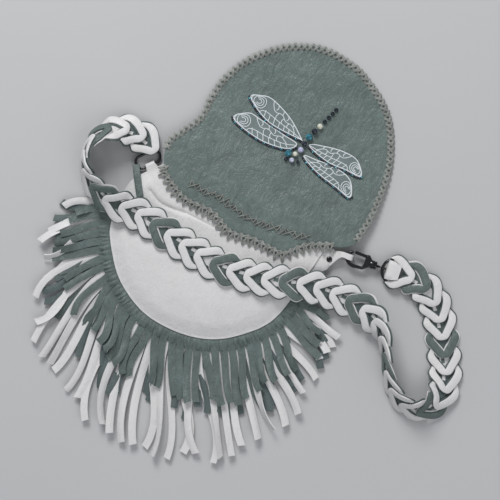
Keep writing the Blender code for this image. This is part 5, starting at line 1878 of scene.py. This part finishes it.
@dataclass
class Strap:
    """A chain of slit leather links laid over the back and curled at both sides."""

    finishes: Finishes
    width: float = 0.029
    thickness: float = 0.0038
    pitch: float = 0.0152
    leg_width: float = 0.0074
    leg_length: float = 0.0222
    clear: float = 0.0004
    run_of_white: int = 3
    samples: int = 660
    ease: int = 14
    route: tuple[tuple[float, float, float], ...] = (
        (-1.020, 0.050, 0), (-1.160, 0.110, 5), (-1.326, 0.128, 15), (-1.469, 0.106, 36),
        (-1.584, 0.042, 56), (-1.652, -0.050, 70), (-1.657, -0.154, 77), (-1.602, -0.245, 74),
        (-1.517, -0.309, 65), (-1.393, -0.358, 50), (-1.247, -0.386, 33), (-1.080, -0.388, 15),
        (-0.920, -0.372, 4), (-0.758, -0.392, 0), (-0.536, -0.417, 0), (-0.310, -0.440, 0),
        (-0.065, -0.458, 0), (0.130, -0.450, 0), (0.335, -0.428, 0), (0.514, -0.392, 0),
        (0.725, -0.342, 0), (0.922, -0.300, 0), (1.100, -0.285, 0), (1.320, -0.277, 4),
        (1.510, -0.292, 18), (1.660, -0.338, 48), (1.775, -0.420, 74), (1.860, -0.514, 82),
        (1.945, -0.610, 78), (2.060, -0.705, 68), (2.220, -0.770, 60), (2.400, -0.760, 50),
        (2.515, -0.670, 36), (2.538, -0.554, 19), (2.480, -0.450, 5), (2.396, -0.345, 0),
        (2.303, -0.240, 0), (2.210, -0.138, 0), (2.100, -0.045, 0), (1.965, 0.024, 0),
        (1.800, 0.064, 0),
    )

    def middle(self, fittings: Fittings) -> tuple[Points, Points]:
        """Even plan places of the strap's middle line with its roll."""
        route = [(x * BODY_WIDTH / 2, y * BODY_DEPTH, math.radians(roll) * GAP) for x, y, roll in self.route]
        end = fittings.place(fittings.bar - fittings.rod - self.clear, 0, 0)
        route.append((end[0], end[1], 0.0))
        line = softened(curve_through(route, self.samples), self.ease)
        return line[:, :2], line[:, 2] / GAP

    def ground(self, places: Points, pouch: Pouch, fittings: Fittings) -> Points:
        """Height of what the strap passes over at plan places."""
        seam = pouch.seam(37)
        back = pouch.back_level(places) + LEATHER
        ring = np.linalg.norm(places - fittings.ring_spot(0, 0, 0)[:2], axis=1) < fittings.ring_length
        bar = np.linalg.norm(places - fittings.place(fittings.bar, 0, 0)[:2], axis=1) < fittings.d_width
        beside = places[:, 1] < 0.0075 - BODY_DEPTH * 0.39
        near = distances_to(places, seam) < 0.063
        height = np.where(beside & near, pouch.seam_level - GAP, 0.0)
        height = np.where(bar, fittings.axis_z - self.thickness / 2, height)
        height = np.where(ring, fittings.ring_z + fittings.rod, height)
        return np.where(inside(places, seam), back, height)

    def frames(self, pouch: Pouch, fittings: Fittings) -> tuple[Points, Points, Points, Points]:
        """Places, lengths, width directions and normals at equal steps along the strap."""
        flat, roll = self.middle(fittings)
        tangents = directions_along(flat)
        sideways = np.stack([-tangents[:, 1], tangents[:, 0]], axis=1)
        half = self.width / 2
        heights = []
        for share in (-1, -0.5, 0, 0.5, 1):
            heights.append(self.ground(flat + share * half * np.cos(roll)[:, None] * sideways, pouch, fittings))
        base = np.max(heights, axis=0)
        padded = np.pad(base, 2 * self.ease, mode="edge")
        base = np.array([padded[i : i + 4 * self.ease + 1].max() for i in range(len(base))])
        base = softened(base, self.ease)
        height = base + self.clear + half * np.abs(np.sin(roll)) + self.thickness / 2 * np.cos(roll)
        centre = np.column_stack([flat, height])
        tangents = directions_along(centre)
        level = np.column_stack([sideways, np.zeros(len(flat))])
        width = np.cos(roll)[:, None] * level + np.sin(roll)[:, None] * UP
        width -= np.sum(width * tangents, axis=1)[:, None] * tangents
        width /= np.linalg.norm(width, axis=1)[:, None]
        return centre, lengths_along(centre), width, np.cross(tangents, width)

    @property
    def leg_run(self) -> float:
        """How far a leg's round end lies beyond the link's point, along the strap."""
        half = self.leg_width / 2
        spread = self.width / 2 - half
        return (self.leg_length - half) * math.cos(math.asin(spread / (self.leg_length - half)))

    def link(self, width: float, height: float, low: float, out: float) -> Shape:
        """One padded V with rounded bends, its point at zero, in the strap's own directions.

        Args:
            width: width of a leg.
            height: height of the padding.
            low: height of its middle over the strap's middle.
            out: how far its bends stand out beyond the CAD link's.

        Returns:
            The link.
        """
        spread, run = self.width / 2 - self.leg_width / 2 + out, self.leg_run
        right = [
            (0.0010, 0.0, 0.0010), (0.0019, 0.0026, 0.0010), (run * 0.36, spread * 0.46, 0.0007),
            (run * 0.66, spread * 0.76, 0.0003), (run * 0.90, spread * 0.97, 0.0),
            (run * 1.08, spread * 1.03, -0.0004), (run * 1.26, spread * 0.99, -0.0010),
            (run * 1.44, spread * 0.90, -0.0015),
        ]
        left = [(s, -t, h) for s, t, h in right[1:]][::-1]
        line = curve_through(left + right, 45)
        share = np.abs(np.linspace(-1, 1, len(line)))
        ends = 1 - 0.45 * smooth_step((share - 0.74) / 0.24)
        shoulders = 1 + 0.05 * np.exp(-((share - 0.6) / 0.12) ** 2) - 0.16 * np.exp(-((share / 0.08) ** 2))
        tangents = directions_along(line * (1, 1, 0))
        points, pattern = [], []
        rim = 12
        for centre, tangent, end, shoulder in zip(line, tangents, ends, shoulders):
            across = np.array((-tangent[1], tangent[0], 0))
            for step in range(rim):
                turn = 2 * math.pi * step / rim
                side = math.copysign(abs(math.cos(turn)) ** 0.32, math.cos(turn)) * width / 2 * end * shoulder
                lift = math.copysign(abs(math.sin(turn)) ** 0.55, math.sin(turn)) * height / 2
                points.append(centre + side * across + np.array((0, 0, lift + low)))
                pattern.append((centre[0], centre[1]))
        return Shape(np.array(points), ring_faces(len(line), rim), np.array(pattern))

    def build(self, pouch: Pouch, fittings: Fittings) -> None:
        """Makes the white and grey links, each over a thin layer of the other colour."""
        centre, along, width, normal = self.frames(pouch, fittings)
        lead, tail = self.leg_width / 2, self.leg_run + self.leg_width / 2
        count = int((along[-1] - lead - tail) / self.pitch) + 1
        pitch = (along[-1] - lead - tail) / (count - 1)
        top = self.link(0.0067, 0.0019, 0.0007, 0.0002)
        under = self.link(0.0085, 0.0010, -0.0008, 0.0004)
        tongue = strip_pattern(0.0085, 0.0008, 6, 2)
        draw = random.Random(31)

        def laid(shape: Shape, start: float, tone: int) -> Shape:
            """A link bent along the strap."""
            tilt, turn = draw.uniform(-0.0004, 0.0005), draw.uniform(-0.03, 0.03)

            def bend(points: Points) -> Points:
                """Places of the link's points."""
                s = points[:, 0] + turn * points[:, 1] + start
                inner = np.clip(s, 0, along[-1])
                spot = points_at(centre, along, inner)
                across, up = points_at(width, along, inner), points_at(normal, along, inner)
                beyond = (s - inner)[:, None] * directions_along(centre)[-1]
                placed = spot + beyond + points[:, 1:2] * across
                placed += (points[:, 2] + tilt * points[:, 1] / (self.width / 2))[:, None] * up
                placed[:, 2] = np.maximum(placed[:, 2], OVER_TABLE)
                return placed

            return shape.moved(bend, tone)

        group: list[Shape] = []
        made = 0
        for index in range(count):
            grey = index % (self.run_of_white + 1) == self.run_of_white
            start = lead + index * pitch
            link = [laid(under, start + 0.0005, 1), laid(top, start, 0)]
            strip = tongue.moved(lambda points: points * (0.0105, 1, 1) + (-pitch + 0.0038, 0, -0.0014))
            if index:
                link.append(laid(strip, start, 1))
            if index % 3:
                patch = tongue.moved(lambda points: points * (0.0046, 0.34, 1) + (-0.0062, 0.0014, -0.0010))
                link.append(laid(patch, start, 0))
            if not grey:
                group += link
            if group and (grey or index == count - 1):
                made += 1
                if index == count - 1:
                    group.append(self.end_fold(fittings, centre[-1], width[-1]))
                self.finish(f"strap_white_run_{made:02d}", group, f"strap_white_links_{made:02d}", False)
                group = []
            if grey:
                self.finish(f"strap_grey_{made:02d}", link, f"strap_grey_link_{made:02d}", True)

    def end_fold(self, fittings: Fittings, end: Points, side: Points) -> Shape:
        """The strap's end, folded over the D-ring's bar."""
        reach = fittings.rod + 0.0013
        route = [fittings.place(fittings.bar - 0.0085, 0, reach * 0.9), fittings.place(fittings.bar - 0.004, 0, reach)]
        for turn in np.radians((90, 50, 10, -30, -70, -90)):
            route.append(fittings.place(fittings.bar + reach * math.cos(turn), 0, reach * math.sin(turn)))
        route.append(fittings.place(fittings.bar - 0.006, 0, -reach))
        line = curve_through(route, 36)
        halves = np.interp(np.linspace(0, 1, 36), (0, 0.3, 1), (0.0062, 0.0085, 0.0085))
        across = fittings.place(0, 1, 0) - fittings.place(0, 0, 0)
        return fittings.ribbon(line, halves, across, 0.0019)

    def finish(self, name: str, shapes: list[Shape], node: str, grey: bool) -> None:
        """Makes one run of links as a piece."""
        kit = self.finishes
        materials = [kit.fringe_grey, kit.white] if grey else [kit.white, kit.dark_grey]
        joined(shapes).placed(name, materials, Body.BAG, Slot.GREY if grey else Slot.WHITE, [node], 60)


# Table, lamps and camera


@dataclass
class Studio:
    """A plain pale table, soft lamps and a camera that looks down as the photograph's does."""

    centre: tuple[float, float] = (0.0189, 0.0223)
    span: float = 0.438
    distance: float = 1.6
    turn: float = math.atan2(0.438, 0.899)

    def build(self) -> None:
        """Sets the stage."""
        self.table()
        self.lamps()
        self.camera()
        bpy.context.scene.view_settings.view_transform = "Standard"

    def table(self) -> None:
        """Makes the table top."""
        clear_selection()
        bpy.ops.mesh.primitive_grid_add(x_subdivisions=4, y_subdivisions=4, size=6.0, location=(0, 0, -0.0002))
        floor = bpy.context.active_object
        bpy.ops.object.transform_apply(location=True, rotation=False, scale=False)
        floor.name = "table_top"
        shading = Shading("pale_table")
        soft = shading.noise(shading.places(), 0.4, 2.0)
        colour = shading.mix(soft.between(0.3, 0.7), (0.47, 0.47, 0.475), (0.49, 0.49, 0.495))
        floor.data.materials.append(shading.dress(base_color=colour, roughness=0.75, specular_ior_level=0.2))

    def lamps(self) -> None:
        """Makes two large soft lamps and the room's light."""
        for name, place, size, power in (
            ("key", (-1.0, 1.2, 1.35), 0.75, 30.5),
            ("fill", (1.3, -0.7, 1.5), 1.6, 9.0),
        ):
            lamp = bpy.data.lights.new(name, "AREA")
            lamp.size = size
            lamp.energy = power
            item = bpy.data.objects.new(name, lamp)
            bpy.context.scene.collection.objects.link(item)
            item.location = place
            tilt = math.acos(place[2] / np.linalg.norm(place))
            item.rotation_euler = (tilt, 0, math.atan2(place[1], place[0]) + math.pi / 2)
        world = bpy.context.scene.world or bpy.data.worlds.new("room")
        bpy.context.scene.world = world
        world.use_nodes = True
        room = world.node_tree.nodes["Background"]
        room.inputs[0].default_value = (0.93, 0.96, 1.0, 1.0)
        room.inputs[1].default_value = 0.45

    def camera(self) -> None:
        """Makes the camera."""
        data = bpy.data.cameras.new("view")
        data.sensor_width = 36
        data.lens = 36 * self.distance / self.span
        camera = bpy.data.objects.new("view", data)
        bpy.context.scene.collection.objects.link(camera)
        camera.location = (*self.centre, self.distance)
        camera.rotation_euler = (0, 0, self.turn)
        bpy.context.scene.camera = camera


def main() -> None:
    """Builds the bag piece by piece, then its surroundings."""
    logging.basicConfig(level=logging.INFO, format="%(message)s")
    finishes = Finishes()
    pouch = Pouch(finishes)
    pouch.build()
    Fringe(finishes).build(pouch)
    flap = Flap(finishes)
    flap.build(pouch)
    Dragonfly(finishes).build(flap, pouch)
    fittings = Fittings(finishes)
    fittings.build(pouch)
    Strap(finishes).build(pouch, fittings)
    Studio().build()


if __name__ == "__main__":
    main()
